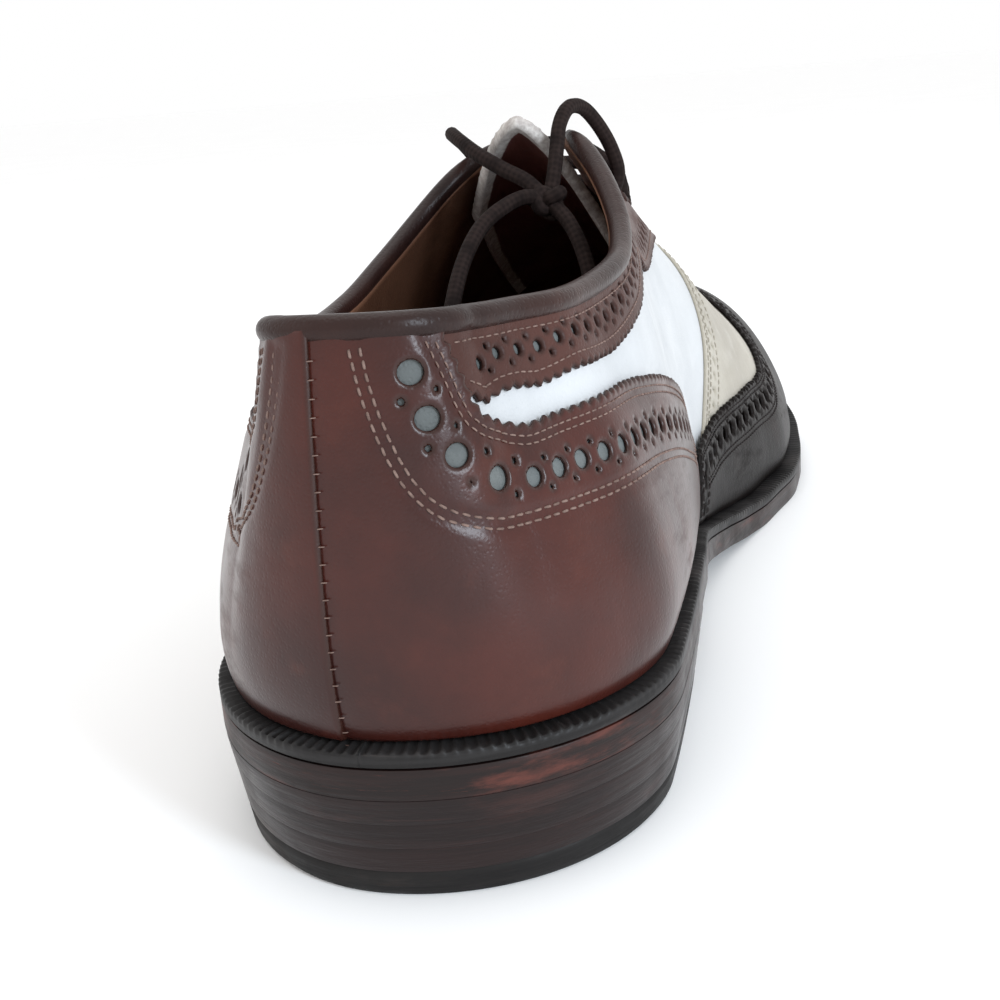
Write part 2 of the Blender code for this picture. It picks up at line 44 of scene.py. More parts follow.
# Sizes that part.py gives the last and the sole
SOLE_LENGTH = 0.306
HEEL_WELT, SIDE_WELT, BALL_WELT = 0.0045, 0.0045, 0.0065
HEEL_HEIGHT, HEEL_LENGTH, HEEL_TAPER, BREAST_HOLLOW = 0.0175, 0.077, 0.0026, 0.004
TOP_LIFT, LIFT_COUNT = 0.0045, 3
OUTSOLE, WELT, INSOLE, TOE_SPRING = 0.005, 0.003, 0.0035, 0.012
BALL_HALF_INNER, BALL_HALF_OUTER = 0.0480, 0.0505
HEEL_ROUND, TOE_ROUND = 0.0360, 0.0600
INSTEP_HEIGHT, BACK_HEIGHT = 0.1060, 0.0620
CREST_START, CREST_END, CREST_BLEND = 0.0200, 0.0380, 0.0080
WALL, GAP, BEAD, BAND = 0.0020, 0.0003, 0.0040, 0.0125
STAY_WIDTH, STAY_ROUND = 0.0135, 0.06
FACING_TOP, THROAT, FACING_GAP, FACING_FOOT, THROAT_ROUND = 0.1180, 0.1830, 0.0085, 0.0030, 0.0080
FOXING_FRONT, STAY_FRONT = 0.1215, 0.1775
TONGUE_TOP, TONGUE_ROUND, TONGUE_END = 0.1060, 0.0240, 0.1930
TONGUE_EDGE_INNER, TONGUE_EDGE_OUTER = 0.55, 0.66
LACE = 0.0030
BAR_COUNT, BAR_FIRST, BAR_LAST, EYELET_IN = 4, 0.1385, 0.1700, 0.0066
BULGE, BULGE_AT = 0.0042, 0.18
SPRING_START, SPRING_POWER = 0.72, 1.8
SEAM_AT = 0.012

WIDTHS = [
    (0.00, 0.76, 0.62), (0.14, 0.78, 0.65), (0.27, 0.76, 0.66), (0.41, 0.69, 0.72), (0.48, 0.725, 0.78),
    (0.54, 0.80, 0.85), (0.61, 0.90, 0.95), (0.68, 0.985, 1.00), (0.72, 0.990, 0.990), (0.81, 0.935, 0.935),
    (0.91, 0.855, 0.850), (1.00, 0.800, 0.760),
]
SOLE_LINE = [(0.00, 1.00), (0.26, 1.00), (0.34, 0.76), (0.44, 0.36), (0.53, 0.08), (0.58, 0.00), (0.72, 0.00)]
RIDGE = [
    (0.10, 1.260, -0.06), (0.20, 1.215, -0.07), (0.30, 1.115, -0.09), (0.39, 1.000, -0.09),
         (0.46, 0.920, -0.09),
    (0.52, 0.835, -0.08), (0.59, 0.755, -0.06), (0.65, 0.675, -0.05), (0.72, 0.590, -0.05),
         (0.80, 0.520, -0.06),
    (0.90, 0.450, -0.09),
]
FULLNESS = [
    (0.015, 2.20, 0.60), (0.030, 1.50, 0.75), (0.050, 1.12, 0.90), (0.080, 1.08, 1.00), (0.120, 1.25, 1.10),
    (0.165, 1.40, 1.05), (0.230, 1.70, 0.90), (0.280, 1.80, 0.70), (0.340, 1.85, 0.55), (0.420, 1.95, 0.45),
    (0.520, 2.10, 0.40), (0.590, 1.98, 0.50), (0.650, 1.82, 0.55), (0.750, 1.80, 0.50), (0.880, 2.15, 0.40),
    (1.000, 2.40, 0.25),
]
TOPLINE = [
    (0.02, 1.000, 1.000), (0.08, 0.970, 0.950), (0.15, 0.956, 0.885), (0.23, 0.985, 0.825),
           (0.27, 1.040, 0.850),
    (0.315, 1.150, 0.930), (0.36, 1.280, 1.055), (0.39, 1.400, 1.220), (0.42, 1.540, 1.450),
]
FOXING_TOP = [
    (0.0360, 1.100, 1.100), (0.0410, 0.900, 0.900), (0.0450, 0.760, 0.760), (0.055, 0.720, 0.715),
    (0.070, 0.692, 0.690), (0.110, 0.695, 0.680), (0.150, 0.688, 0.650), (0.195, 0.657, 0.600),
    (0.253, 0.583, 0.530), (0.310, 0.470, 0.430), (0.360, 0.330, 0.310), (0.400, 0.180, 0.170),
]
WING_EDGE = [
    (0.00, 0.402, 0.402), (0.13, 0.412, 0.412), (0.17, 0.470, 0.465), (0.24, 0.576, 0.566),
             (0.33, 0.680, 0.665),
    (0.45, 0.740, 0.732), (0.60, 0.770, 0.768), (0.75, 0.775, 0.775), (0.88, 0.745, 0.745),
             (1.00, 0.660, 0.660),
]
KNOT_AT = (-11.4, 98.3, 92.4)
STRANDS = {
    "lace_arch_inner": [
        (-20.2, 128.0, 95.2), (-19.0, 127.0, 100.6), (-16.8, 124.6, 105.6), (-14.6, 120.4, 109.1),
        (-12.9, 114.5, 109.4), (-12.0, 109.3, 106.5), (-12.0, 105.2, 102.2), (-12.0, 101.3, 97.6),
    ],
    "lace_arch_outer": [
        (11.1, 128.0, 99.9), (13.4, 126.2, 103.6), (13.9, 121.2, 105.6), (10.4, 113.8, 104.6),
        (4.6, 106.8, 101.8), (-1.6, 102.6, 98.8), (-6.6, 100.5, 96.4),
    ],
    "lace_tail_long": [
        (-7.4, 95.5, 93.8), (-3.8, 90.8, 92.4), (-0.6, 84.8, 89.2), (1.1, 76.7, 83.4), (1.6, 68.3, 75.4),
        (2.0, 60.0, 64.3), (3.0, 54.0, 52.0), (4.0, 49.5, 40.5), (4.5, 44.0, 32.6), (3.5, 36.0, 31.2),
    ],
    "lace_tail_short": [
        (-15.2, 95.5, 89.2), (-18.4, 92.2, 84.2), (-20.6, 88.6, 77.8), (-22.0, 85.0, 68.0),
        (-23.0, 81.5, 57.0), (-23.0, 77.5, 45.0), (-21.5, 72.5, 35.0), (-18.0, 65.5, 31.2),
    ],
}
UPPER_LENGTH = SOLE_LENGTH - HEEL_WELT - BALL_WELT
SEAT = HEEL_HEIGHT + OUTSOLE + WELT
INNER, OUTER = -1, 1


def curve_of(rows, column=1):
    """Monotone cubic through a table's column, for arrays."""
    xs = np.array([row[0] for row in rows])
    ys = np.array([row[column] for row in rows])
    steps = np.diff(xs)
    rises = np.diff(ys) / steps
    slopes = np.zeros(len(xs))
    slopes[0], slopes[-1] = rises[0], rises[-1]
    for i in range(1, len(xs) - 1):
        if rises[i - 1] * rises[i] > 0:
            before = 2 * steps[i] + steps[i - 1]
            after = steps[i] + 2 * steps[i - 1]
            slopes[i] = (before + after) / (before / rises[i - 1] + after / rises[i])

    def value(x):
        x = np.asarray(x, float)
        i = np.clip(np.searchsorted(xs, x, side="left") - 1, 0, len(steps) - 1)
        t = np.clip((x - xs[i]) / steps[i], 0, 1)
        start = (1 + 2 * t) * (1 - t) ** 2 * ys[i] + t * (1 - t) ** 2 * steps[i] * slopes[i]
        return start + t * t * (3 - 2 * t) * ys[i + 1] + t * t * (t - 1) * steps[i] * slopes[i + 1]
    return value


width_inner, width_outer = curve_of(WIDTHS, 1), curve_of(WIDTHS, 2)
sole_line = curve_of(SOLE_LINE)
ridge_height, ridge_side = curve_of(RIDGE, 1), curve_of(RIDGE, 2)
fullness, bulge_share = curve_of(FULLNESS, 1), curve_of(FULLNESS, 2)
topline_inner, topline_outer = curve_of(TOPLINE, 1), curve_of(TOPLINE, 2)
foxing_inner, foxing_outer = curve_of(FOXING_TOP, 1), curve_of(FOXING_TOP, 2)
wing_inner, wing_outer = curve_of(WING_EDGE, 1), curve_of(WING_EDGE, 2)


def ease(t):
    t = np.clip(t, 0, 1)
    return t * t * (3 - 2 * t)


def rounding(gap, reach):
    u = np.maximum(0.0, 1 - gap / reach)
    return np.sqrt(np.maximum(0.0, 1 - u * u))


def along_at(station):
    share = np.clip((np.asarray(station, float) - HEEL_WELT) / UPPER_LENGTH, 0, 1)
    return np.arccos(1 - 2 * share) / math.pi


def crest_side(station):
    return BALL_HALF_INNER * ridge_side(station / SOLE_LENGTH)


def feather(s):
    """Feather line at signed places along: negative on the inner side, positive on the outer."""
    side = np.where(s < 0, -1.0, 1.0)
    share = (1 - np.cos(math.pi * np.abs(s))) / 2
    half = np.where(s < 0, BALL_HALF_INNER * width_inner(share), BALL_HALF_OUTER * width_outer(share))
    half = half * rounding(share * UPPER_LENGTH, HEEL_ROUND) * rounding((1 - share) * UPPER_LENGTH, TOE_ROUND)
    a = HEEL_WELT + share * UPPER_LENGTH
    return crest_side(a) * ease((share - 0.6) / 0.4) + side * half, a


def outward(s):
    step = 0.001
    side = np.where(s < 0, -1.0, 1.0)
    along = np.clip(np.abs(s), step, 1 - step)
    x0, a0 = feather(side * (along - step * 0.999))
    x1, a1 = feather(side * (along + step * 0.999))
    length = np.hypot(x1 - x0, a1 - a0)
    out_x, out_a = side * (a1 - a0) / length, -side * (x1 - x0) / length
    out_x = np.where((np.abs(s) < step) | (np.abs(s) > 1 - step), 0.0, out_x)
    out_a = np.where(np.abs(s) < step, -1.0, np.where(np.abs(s) > 1 - step, 1.0, out_a))
    return out_x, out_a


def outline(s, extra):
    x, a = feather(s)
    out_x, out_a = outward(s)
    return x + out_x * extra, a + out_a * extra


def welt_reach(s):
    share = (1 - np.cos(math.pi * np.abs(s))) / 2
    return SIDE_WELT + (BALL_WELT - SIDE_WELT) * ease((share - 0.30) / 0.35)


def ground(a):
    share = a / SOLE_LENGTH
    spring = np.maximum(0.0, (share - SPRING_START) / (1 - SPRING_START))
    return HEEL_HEIGHT * sole_line(share) + TOE_SPRING * spring ** SPRING_POWER


def welt_top(a):
    return ground(a) + OUTSOLE + WELT


def crest_station(a):
    def hinge(value):
        return CREST_BLEND * np.logaddexp(0.0, value / CREST_BLEND)
    end = SOLE_LENGTH - BALL_WELT - CREST_END
    return end - hinge(end - (CREST_START + hinge(a - CREST_START)))


def crest_height(a):
    return INSTEP_HEIGHT * ridge_height(a / SOLE_LENGTH)


def last(s, turn):
    """Points of the last's surface, as sideways place, station and height."""
    s, turn = np.broadcast_arrays(np.asarray(s, float), np.asarray(turn, float))
    x, a = feather(s)
    foot = welt_top(a)
    top_a = crest_station(a)
    top_x = crest_side(top_a)
    top = crest_height(top_a)
    slope = (crest_height(top_a + 0.002) - crest_height(top_a - 0.002)) / 0.004
    power = fullness(a / SOLE_LENGTH)
    angle = np.clip(turn, 0, 1) * math.pi / 2
    lean = 1 - np.maximum(0.0, np.cos(angle)) ** (2 / power)
    rise = np.maximum(0.0, np.sin(angle)) ** (2 / power)
    swell = BULGE * bulge_share(a / SOLE_LENGTH) * rise / BULGE_AT * np.exp(1 - rise / BULGE_AT) * (1 - rise)
    out_x, out_a = outward(s)
    at_x = x + (top_x - x) * lean + out_x * swell
    at_a = a + (top_a - a) * lean + out_a * swell
    height = foot + (top - foot) * rise + slope * (at_a - top_a) * rise * rise
    return np.stack([at_x, at_a, height], axis=-1)


STEPS = np.linspace(0, 1, 801)
MIDDLE = (outline(-STEPS - 1e-9, welt_reach(STEPS))[0].min() + outline(STEPS, welt_reach(STEPS))[0].max()) / 2


def place(points):
    points = np.asarray(points, float)
    return np.stack([points[..., 0] - MIDDLE, SOLE_LENGTH / 2 - points[..., 1], points[..., 2]], axis=-1)


def solve(test, shape, high=1.0):
    """Turns at which a rising test crosses zero, by halving."""
    low = np.zeros(shape)
    top = np.full(shape, high)
    never = test(top) <= 0
    for _ in range(26):
        middle = (low + top) / 2
        over = test(middle) > 0
        top = np.where(over, middle, top)
        low = np.where(over, low, middle)
    return np.where(never, high, (low + top) / 2)


def by_side(s, inner, outer, share):
    return np.where(s < 0, inner(share), outer(share))


def topline(s, a):
    return SEAT + BACK_HEIGHT * by_side(s, topline_inner, topline_outer, a / SOLE_LENGTH)


def topline_turn(s, drop):
    def above(turn):
        point = last(s, turn)
        a, z = point[..., 1], point[..., 2]
        slope = (topline(s, a + 0.001) - topline(s, a - 0.001)) / 0.002
        return z - topline(s, a) + drop * np.hypot(1, slope)
    return solve(above, np.shape(s))


def facing_half(a):
    open_share = np.minimum(1.0, (THROAT - a) / (THROAT - FACING_TOP))
    half = FACING_FOOT + (FACING_GAP - FACING_FOOT) * open_share
    return np.where(a >= THROAT, 0.0, half * rounding(np.maximum(THROAT - a, 0), THROAT_ROUND))


def ridge_turn(s, distance):
    x, a = feather(s)
    power = fullness(a / SOLE_LENGTH)
    width = np.abs(crest_side(crest_station(a)) - x)
    share = np.clip(distance / np.maximum(width, 1e-6), 0, 1)
    turn = np.arccos(share ** (power / 2)) / (math.pi / 2)
    return np.where((distance <= 0) | (a < FACING_TOP / 2), 1.0, turn)


def facing_turn(s):
    return ridge_turn(s, facing_half(feather(s)[1]))


def edge_turn(s, drop=BEAD / 2):
    """Turn of the upper's free edge."""
    a = feather(s)[1]
    return np.where(a > THROAT, 1.0, np.minimum(topline_turn(s, drop), facing_turn(s)))


def foxing_turn(s):
    def above(turn):
        point = last(s, turn)
        share = point[..., 1] / SOLE_LENGTH
        return point[..., 2] - SEAT - BACK_HEIGHT * by_side(s, foxing_inner, foxing_outer, share)
    return solve(above, np.shape(s))


def stay_turn(s):
    band = topline_turn(s, BAND)
    beside = ridge_turn(s, facing_half(feather(s)[1]) + STAY_WIDTH)
    meet = np.maximum(0.0, STAY_ROUND - np.abs(band - beside)) / STAY_ROUND
    return np.minimum(band, beside) - meet * meet * STAY_ROUND / 4


def link(thing, slot, *nodes):
    bpy.context.collection.objects.link(thing)
    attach(thing, "root")
    if nodes:
        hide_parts(*nodes)
    return thing


def mesh_object(name, points, faces, finish, slot, *nodes, attributes=None, smooth=True, finishes=None,
                picks=None):
    mesh = bpy.data.meshes.new(name)
    mesh.from_pydata([tuple(p) for p in points], [], [tuple(int(c) for c in f) for f in faces])
    for one in finishes or [finish]:
        mesh.materials.append(one)
    if picks is not None:
        mesh.polygons.foreach_set("material_index", np.asarray(picks, dtype=np.int32))
    for key, values in (attributes or {}).items():
        layer = mesh.attributes.new(key, "FLOAT", "POINT")
        layer.data.foreach_set("value", np.asarray(values, dtype=np.float32))
    if smooth:
        mesh.shade_smooth()
    mesh.update()
    return link(bpy.data.objects.new(name, mesh), slot, *nodes)


# ---- the camera, as fitted to the photograph, turned to hold the one shoe in the frame
def aim_camera():
    data = bpy.data.cameras.new("camera")
    camera = bpy.data.objects.new("camera", data)
    bpy.context.collection.objects.link(camera)
    at = Vector((-0.0675 - MIDDLE, SOLE_LENGTH / 2 + 0.1555, 0.1146))
    forward = Vector((0.0345, -0.9315, -0.3622)).normalized()
    up = Vector((0.0195, -0.3617, 0.9321)).normalized()
    right = forward.cross(up).normalized()
    # the shoe's middle in the photograph, as an angle off the fitted axis
    forward = (forward + right * ((290 - 508.8) / 960.7) - up * ((407 - 462.6) / 960.7)).normalized()
    right = forward.cross(up).normalized()
    up = right.cross(forward)
    camera.matrix_world = Matrix((
        (right.x, up.x, -forward.x, at.x), (right.y, up.y, -forward.y, at.y),
        (right.z, up.z, -forward.z, at.z), (0, 0, 0, 1)))
    data.sensor_width = 36
    data.lens = 36 * 0.9607 * 1.36
    data.clip_start = 0.01
    bpy.context.scene.camera = camera


aim_camera()


class Nodes:
    """Short way to write a node material."""

    def __init__(self, name, colour, roughness):
        self.finish = bpy.data.materials.new(name)
        self.finish.use_nodes = True
        self.tree = self.finish.node_tree
        self.shader = self.tree.nodes["Principled BSDF"]
        self.shader.inputs["Base Color"].default_value = (*colour, 1)
        self.shader.inputs["Roughness"].default_value = roughness
        self.at = self.node("ShaderNodeTexCoord").outputs["Object"]

    def node(self, kind, **values):
        made = self.tree.nodes.new(kind)
        for key, value in values.items():
            if hasattr(made, key):
                setattr(made, key, value)
            else:
                made.inputs[key.replace("_", " ")].default_value = value
        return made

    def wire(self, out, into):
        self.tree.links.new(out, into)

    def noise(self, scale, detail=4.0, rough=0.55, stretch=None):
        made = self.node("ShaderNodeTexNoise", Scale=scale, Detail=detail, Roughness=rough)
        source = self.at
        if stretch:
            mapping = self.node("ShaderNodeMapping", Scale=stretch)
            self.wire(self.at, mapping.inputs["Vector"])
            source = mapping.outputs["Vector"]
        self.wire(source, made.inputs["Vector"])
        return made.outputs["Fac"]

    def cells(self, scale, feature="F1", stretch=None):
        made = self.node("ShaderNodeTexVoronoi", Scale=scale)
        made.feature = feature
        source = self.at
        if stretch:
            mapping = self.node("ShaderNodeMapping", Scale=stretch)
            self.wire(self.at, mapping.inputs["Vector"])
            source = mapping.outputs["Vector"]
        self.wire(source, made.inputs["Vector"])
        return made.outputs["Distance"]

    def ramp(self, value, low, high, to_low=0.0, to_high=1.0, smooth=True):
        made = self.node("ShaderNodeMapRange")
        made.interpolation_type = "SMOOTHSTEP" if smooth else "LINEAR"
        for key, number in (("From Min", low), ("From Max", high), ("To Min", to_low), ("To Max", to_high)):
            made.inputs[key].default_value = number
        self.wire(value, made.inputs["Value"])
        return made.outputs["Result"]

    def sum(self, first, second, kind="ADD"):
        made = self.node("ShaderNodeMath")
        made.operation = kind
        for i, value in enumerate((first, second)):
            if isinstance(value, (int, float)):
                made.inputs[i].default_value = value
            else:
                self.wire(value, made.inputs[i])
        return made.outputs["Value"]

    def mix(self, factor, first, second):
        made = self.node("ShaderNodeMix", data_type="RGBA")
        self.wire(factor, made.inputs[0])
        for i, value in ((6, first), (7, second)):
            if isinstance(value, tuple):
                made.inputs[i].default_value = (*value, 1)
            else:
                self.wire(value, made.inputs[i])
        return made.outputs[2]

    def field(self, name):
        made = self.node("ShaderNodeAttribute")
        made.attribute_name = name
        return made.outputs["Fac"]

    def bump(self, height, strength, distance):
        made = self.node("ShaderNodeBump", Strength=strength, Distance=distance)
        self.wire(height, made.inputs["Height"])
        self.wire(made.outputs["Normal"], self.shader.inputs["Normal"])

    def colour(self, value):
        self.wire(value, self.shader.inputs["Base Color"])

    def rough(self, value):
        self.wire(value, self.shader.inputs["Roughness"])


def leather(name, colour, shade, glow, roughness, coat=0.0, grain=0.35, edge=None, wrinkle=0.0, shine=0.2):
    """Calf leather: clouded colour, pores, fine wrinkles, duller worn places and a darker cut edge."""
    m = Nodes(name, colour, roughness)
    cloud = m.ramp(m.noise(28, 5), 0.35, 0.68)
    body = m.mix(cloud, shade, colour)
    body = m.mix(m.ramp(m.noise(75, 6, 0.6), 0.52, 0.74, 0.0, 0.55), body, glow)
    if edge:
        body = m.mix(m.ramp(m.field("edge"), 0.0, 0.9, 1.0, 0.0), body, edge)
    fine = m.ramp(m.noise(420, 3), 0.3, 0.75, 0.0, 0.16)
    m.colour(m.mix(fine, body, shade))
    pores = m.ramp(m.cells(1500), 0.05, 0.55)
    folds = m.noise(190, 4, 0.6, stretch=(1.0, 2.3, 0.8))
    deep = m.ramp(m.noise(60, 3, 0.5, stretch=(0.7, 1.0, 2.4)), 0.35, 0.7)
    height = m.sum(m.sum(pores, 0.35, "MULTIPLY"), m.sum(folds, 0.8 + wrinkle, "MULTIPLY"))
    height = m.sum(height, m.sum(deep, 0.7 * wrinkle, "MULTIPLY"))
    m.bump(height, grain, 0.0005)
    scuff = m.ramp(m.noise(46, 6, 0.7, stretch=(1.0, 1.0, 3.0)), 0.50, 0.75, -0.05, 0.16)
    m.rough(m.sum(scuff, roughness, "ADD"))
    m.shader.inputs["Coat Weight"].default_value = coat
    m.shader.inputs["Coat Roughness"].default_value = 0.20
    m.shader.inputs["Specular IOR Level"].default_value = shine
    return m.finish


FOX = leather("brown_leather", (0.058, 0.0112, 0.0070), (0.028, 0.0062, 0.0045), (0.078, 0.017, 0.0095), 0.33,
              coat=0.16, grain=0.13, edge=(0.028, 0.009, 0.006), wrinkle=0.25, shine=0.28)
STAY = leather("stay_leather", (0.068, 0.025, 0.019), (0.046, 0.016, 0.012), (0.085, 0.036, 0.028), 0.46,
               coat=0.04, grain=0.26, edge=(0.030, 0.011, 0.008))
# Wingtip leather: a brown wing, darkened further to near-black as painted shade for the shadow that falls
# over the wing
SHADE_DARKENED_WING = leather("dark_leather", (0.0060, 0.0030, 0.0026), (0.0035, 0.0020, 0.0018), (0.014, 0.005, 0.004),
               0.44,
               coat=0.0, grain=0.28, edge=(0.005, 0.003, 0.0025), shine=0.10)
WHITE = leather("white_leather", (0.58, 0.595, 0.61), (0.50, 0.515, 0.53), (0.63, 0.64, 0.65), 0.46,
                coat=0.05, grain=0.22)
CREAM = leather("cream_leather", (0.46, 0.43, 0.37), (0.37, 0.34, 0.29), (0.55, 0.53, 0.48), 0.50,
                coat=0.0, grain=0.35, edge=(0.36, 0.33, 0.27), wrinkle=0.3)
BINDING = leather("binding_leather", (0.030, 0.0125, 0.0100), (0.017, 0.008, 0.007), (0.050, 0.021, 0.016),
                  0.38,
                  coat=0.06, grain=0.25)
LINING = leather("lining_leather", (0.150, 0.068, 0.038), (0.095, 0.042, 0.024), (0.21, 0.105, 0.060), 0.62,
                 grain=0.3)
TONGUE_BROWN = leather("tongue_leather", (0.105, 0.028, 0.022), (0.060, 0.016, 0.013), (0.16, 0.06, 0.045),
                       0.55,
                       grain=0.4)
UNDERLAY = leather("underlay_leather", (0.150, 0.165, 0.165), (0.095, 0.105, 0.105), (0.21, 0.225, 0.22),
                   0.6, grain=0.4)


def thread(name, colour, shade):
    m = Nodes(name, colour, 0.75)
    m.colour(m.mix(m.ramp(m.noise(900, 3), 0.35, 0.7), colour, shade))
    m.bump(m.noise(2500, 2), 0.4, 0.0002)
    return m.finish


THREAD_TAN = thread("thread_tan", (0.21, 0.138, 0.115), (0.12, 0.072, 0.058))
THREAD_DARK = thread("thread_dark", (0.012, 0.006, 0.005), (0.007, 0.004, 0.003))
THREAD_CREAM = thread("thread_cream", (0.42, 0.39, 0.33), (0.30, 0.27, 0.22))


def stacked(name, colour, shade, streak, roughness, coat):
    """Polished leather edge: layers, scratches along the heel, reddish rubbed places."""
    m = Nodes(name, colour, roughness)
    layers = m.noise(30, 3, 0.5, stretch=(1.0, 1.0, 22.0))
    body = m.mix(m.ramp(layers, 0.40, 0.62), shade, colour)
    rub = m.ramp(m.noise(38, 6, 0.65, stretch=(1.0, 1.0, 4.0)), 0.52, 0.70, 0.0, 0.8)
    body = m.mix(rub, body, streak)
    scratch = m.ramp(m.noise(85, 8, 0.8, stretch=(0.5, 0.5, 16.0)), 0.60, 0.66, 0.0, 0.65)
    m.colour(m.mix(scratch, body, streak))
    m.bump(m.sum(layers, m.noise(300, 5, 0.6, stretch=(0.4, 0.4, 3.0))), 0.30, 0.0006)
    m.rough(m.sum(m.sum(scratch, 0.3, "MULTIPLY"),
                  m.sum(m.ramp(m.noise(90, 5), 0.4, 0.7, -0.06, 0.12), roughness)))
    m.shader.inputs["Coat Weight"].default_value = coat
    m.shader.inputs["Coat Roughness"].default_value = 0.2
    m.shader.inputs["Specular IOR Level"].default_value = 0.22
    return m.finish


HEEL = stacked("heel_leather", (0.0140, 0.0060, 0.0055), (0.0090, 0.0042, 0.0040), (0.032, 0.012, 0.010),
               0.36, 0.12)
EDGE = stacked("edge_leather", (0.0190, 0.0085, 0.0075), (0.0105, 0.0060, 0.0055), (0.120, 0.034, 0.024),
               0.42, 0.08)
WELTING = stacked("welt_leather", (0.0190, 0.0175, 0.0175), (0.0090, 0.0080, 0.0080), (0.045, 0.038, 0.036),
                  0.52, 0.05)
RUBBER = stacked("rubber", (0.0120, 0.0105, 0.0100), (0.0080, 0.0070, 0.0070), (0.028, 0.020, 0.017), 0.55,
                 0.0)


def cord_finish(name, colour, shade, turns):
    """Woven round lace: two crossing sets of strands from the tube's own coordinates."""
    m = Nodes(name, colour, 0.85)
    around = m.field("around")
    length = m.field("length")
    one = m.node("ShaderNodeMath", operation="SINE")
    m.wire(m.sum(m.sum(length, 2 * math.pi / 0.0024, "MULTIPLY"), m.sum(around, turns, "MULTIPLY")),
           one.inputs[0])
    two = m.node("ShaderNodeMath", operation="SINE")
    m.wire(m.sum(m.sum(length, 2 * math.pi / 0.0024, "MULTIPLY"), m.sum(around, turns, "MULTIPLY"),
                 "SUBTRACT"),
           two.inputs[0])
    weave = m.sum(one.outputs["Value"], two.outputs["Value"], "MULTIPLY")
    shadow = m.ramp(weave, -1.6, 0.8)
    m.colour(m.mix(shadow, shade, m.mix(m.ramp(m.noise(260, 4), 0.4, 0.7), colour, shade)))
    m.bump(m.sum(weave, m.noise(2200, 2)), 0.22, 0.0003)
    m.shader.inputs["Specular IOR Level"].default_value = 0.10
    return m.finish


COTTON = cord_finish("lace_cotton", (0.023, 0.0150, 0.0135), (0.0095, 0.0062, 0.0058), 4.0)


# ---- surfaces laid over the last
def arc_places(s0, s1, spacing):
    """Signed places along between two, evenly spaced as measured on the foot's surface."""
    s = np.linspace(s0, s1, 1600)
    points = place(last(s, np.full_like(s, 0.28)))
    run = np.concatenate([[0], np.cumsum(np.linalg.norm(np.diff(points, axis=0), axis=1))])
    count = max(2, int(run[-1] / spacing))
    return np.interp(np.linspace(0, run[-1], count + 1), run, s)


def base_grid(s, turns):
    """Points of a grid whose columns are places along and whose rows are turns."""
    turns = np.broadcast_to(turns, (len(s), np.shape(turns)[-1]))
    return place(last(np.broadcast_to(s[:, None], turns.shape), turns))


def join(grids):
    """One mesh of grids of points: points that coincide become one, faces of the inner side are turned."""
    points, faces, offset = [], [], 0
    for grid, flip in grids:
        n, m = grid.shape[:2]
        index = offset + np.arange(n * m).reshape(n, m)
        quad = np.stack([index[:-1, :-1], index[1:, :-1], index[1:, 1:], index[:-1, 1:]],
                        axis=-1).reshape(-1, 4)
        faces.append(quad[:, ::-1] if flip else quad)
        points.append(grid.reshape(-1, 3))
        offset += n * m
    points = np.concatenate(points)
    faces = np.concatenate(faces)
    keys = np.round(points * 1e6).astype(np.int64)
    _, first, back = np.unique(keys, axis=0, return_index=True, return_inverse=True)
    back = back.reshape(-1)
    return points[first], back[faces]


def face_normals(points, faces):
    return np.cross(points[faces[:, 2]] - points[faces[:, 0]], points[faces[:, 3]] - points[faces[:, 1]])


def vertex_normals(points, faces):
    normals = np.zeros_like(points)
    flat = face_normals(points, faces)
    for k in range(4):
        np.add.at(normals, faces[:, k], flat)
    return normals / np.maximum(np.linalg.norm(normals, axis=1, keepdims=True), 1e-12)


def outward_check(points, faces):
    """Turns all faces outward, away from the shoe's long middle line."""
    flat = face_normals(points, faces)
    middle = points[faces].mean(axis=1)
    core = np.stack([np.full(len(middle), -MIDDLE - 0.003), np.clip(middle[:, 1], -0.10, 0.12),
                     np.full(len(middle), 0.045)], axis=-1)
    if (flat * (middle - core)).sum() < 0:
        faces = faces[:, ::-1]
    return faces


BASE_GRIDS = []
for sign in (INNER, OUTER):
    s_base = arc_places(0.0, 0.9999, 0.0015) * sign
    if sign == INNER:
        s_base[0] = -1e-9
    BASE_GRIDS.append((base_grid(s_base, np.linspace(0.0, 1.0, 90)), sign == INNER))
BASE_POINTS, BASE_FACES = join(BASE_GRIDS)
BASE_FACES = outward_check(BASE_POINTS, BASE_FACES)
BASE = BVHTree.FromPolygons([Vector(p) for p in BASE_POINTS], [tuple(int(c) for c in f) for f in BASE_FACES])


def on_base(points):
    """Nearest points of the last's surface and the outward normals there."""
    at, normals = [], []
    for point in points:
        place_at, normal, _, _ = BASE.find_nearest(Vector(point))
        at.append(place_at)
        normals.append(normal)
    return np.array(at), np.array(normals)


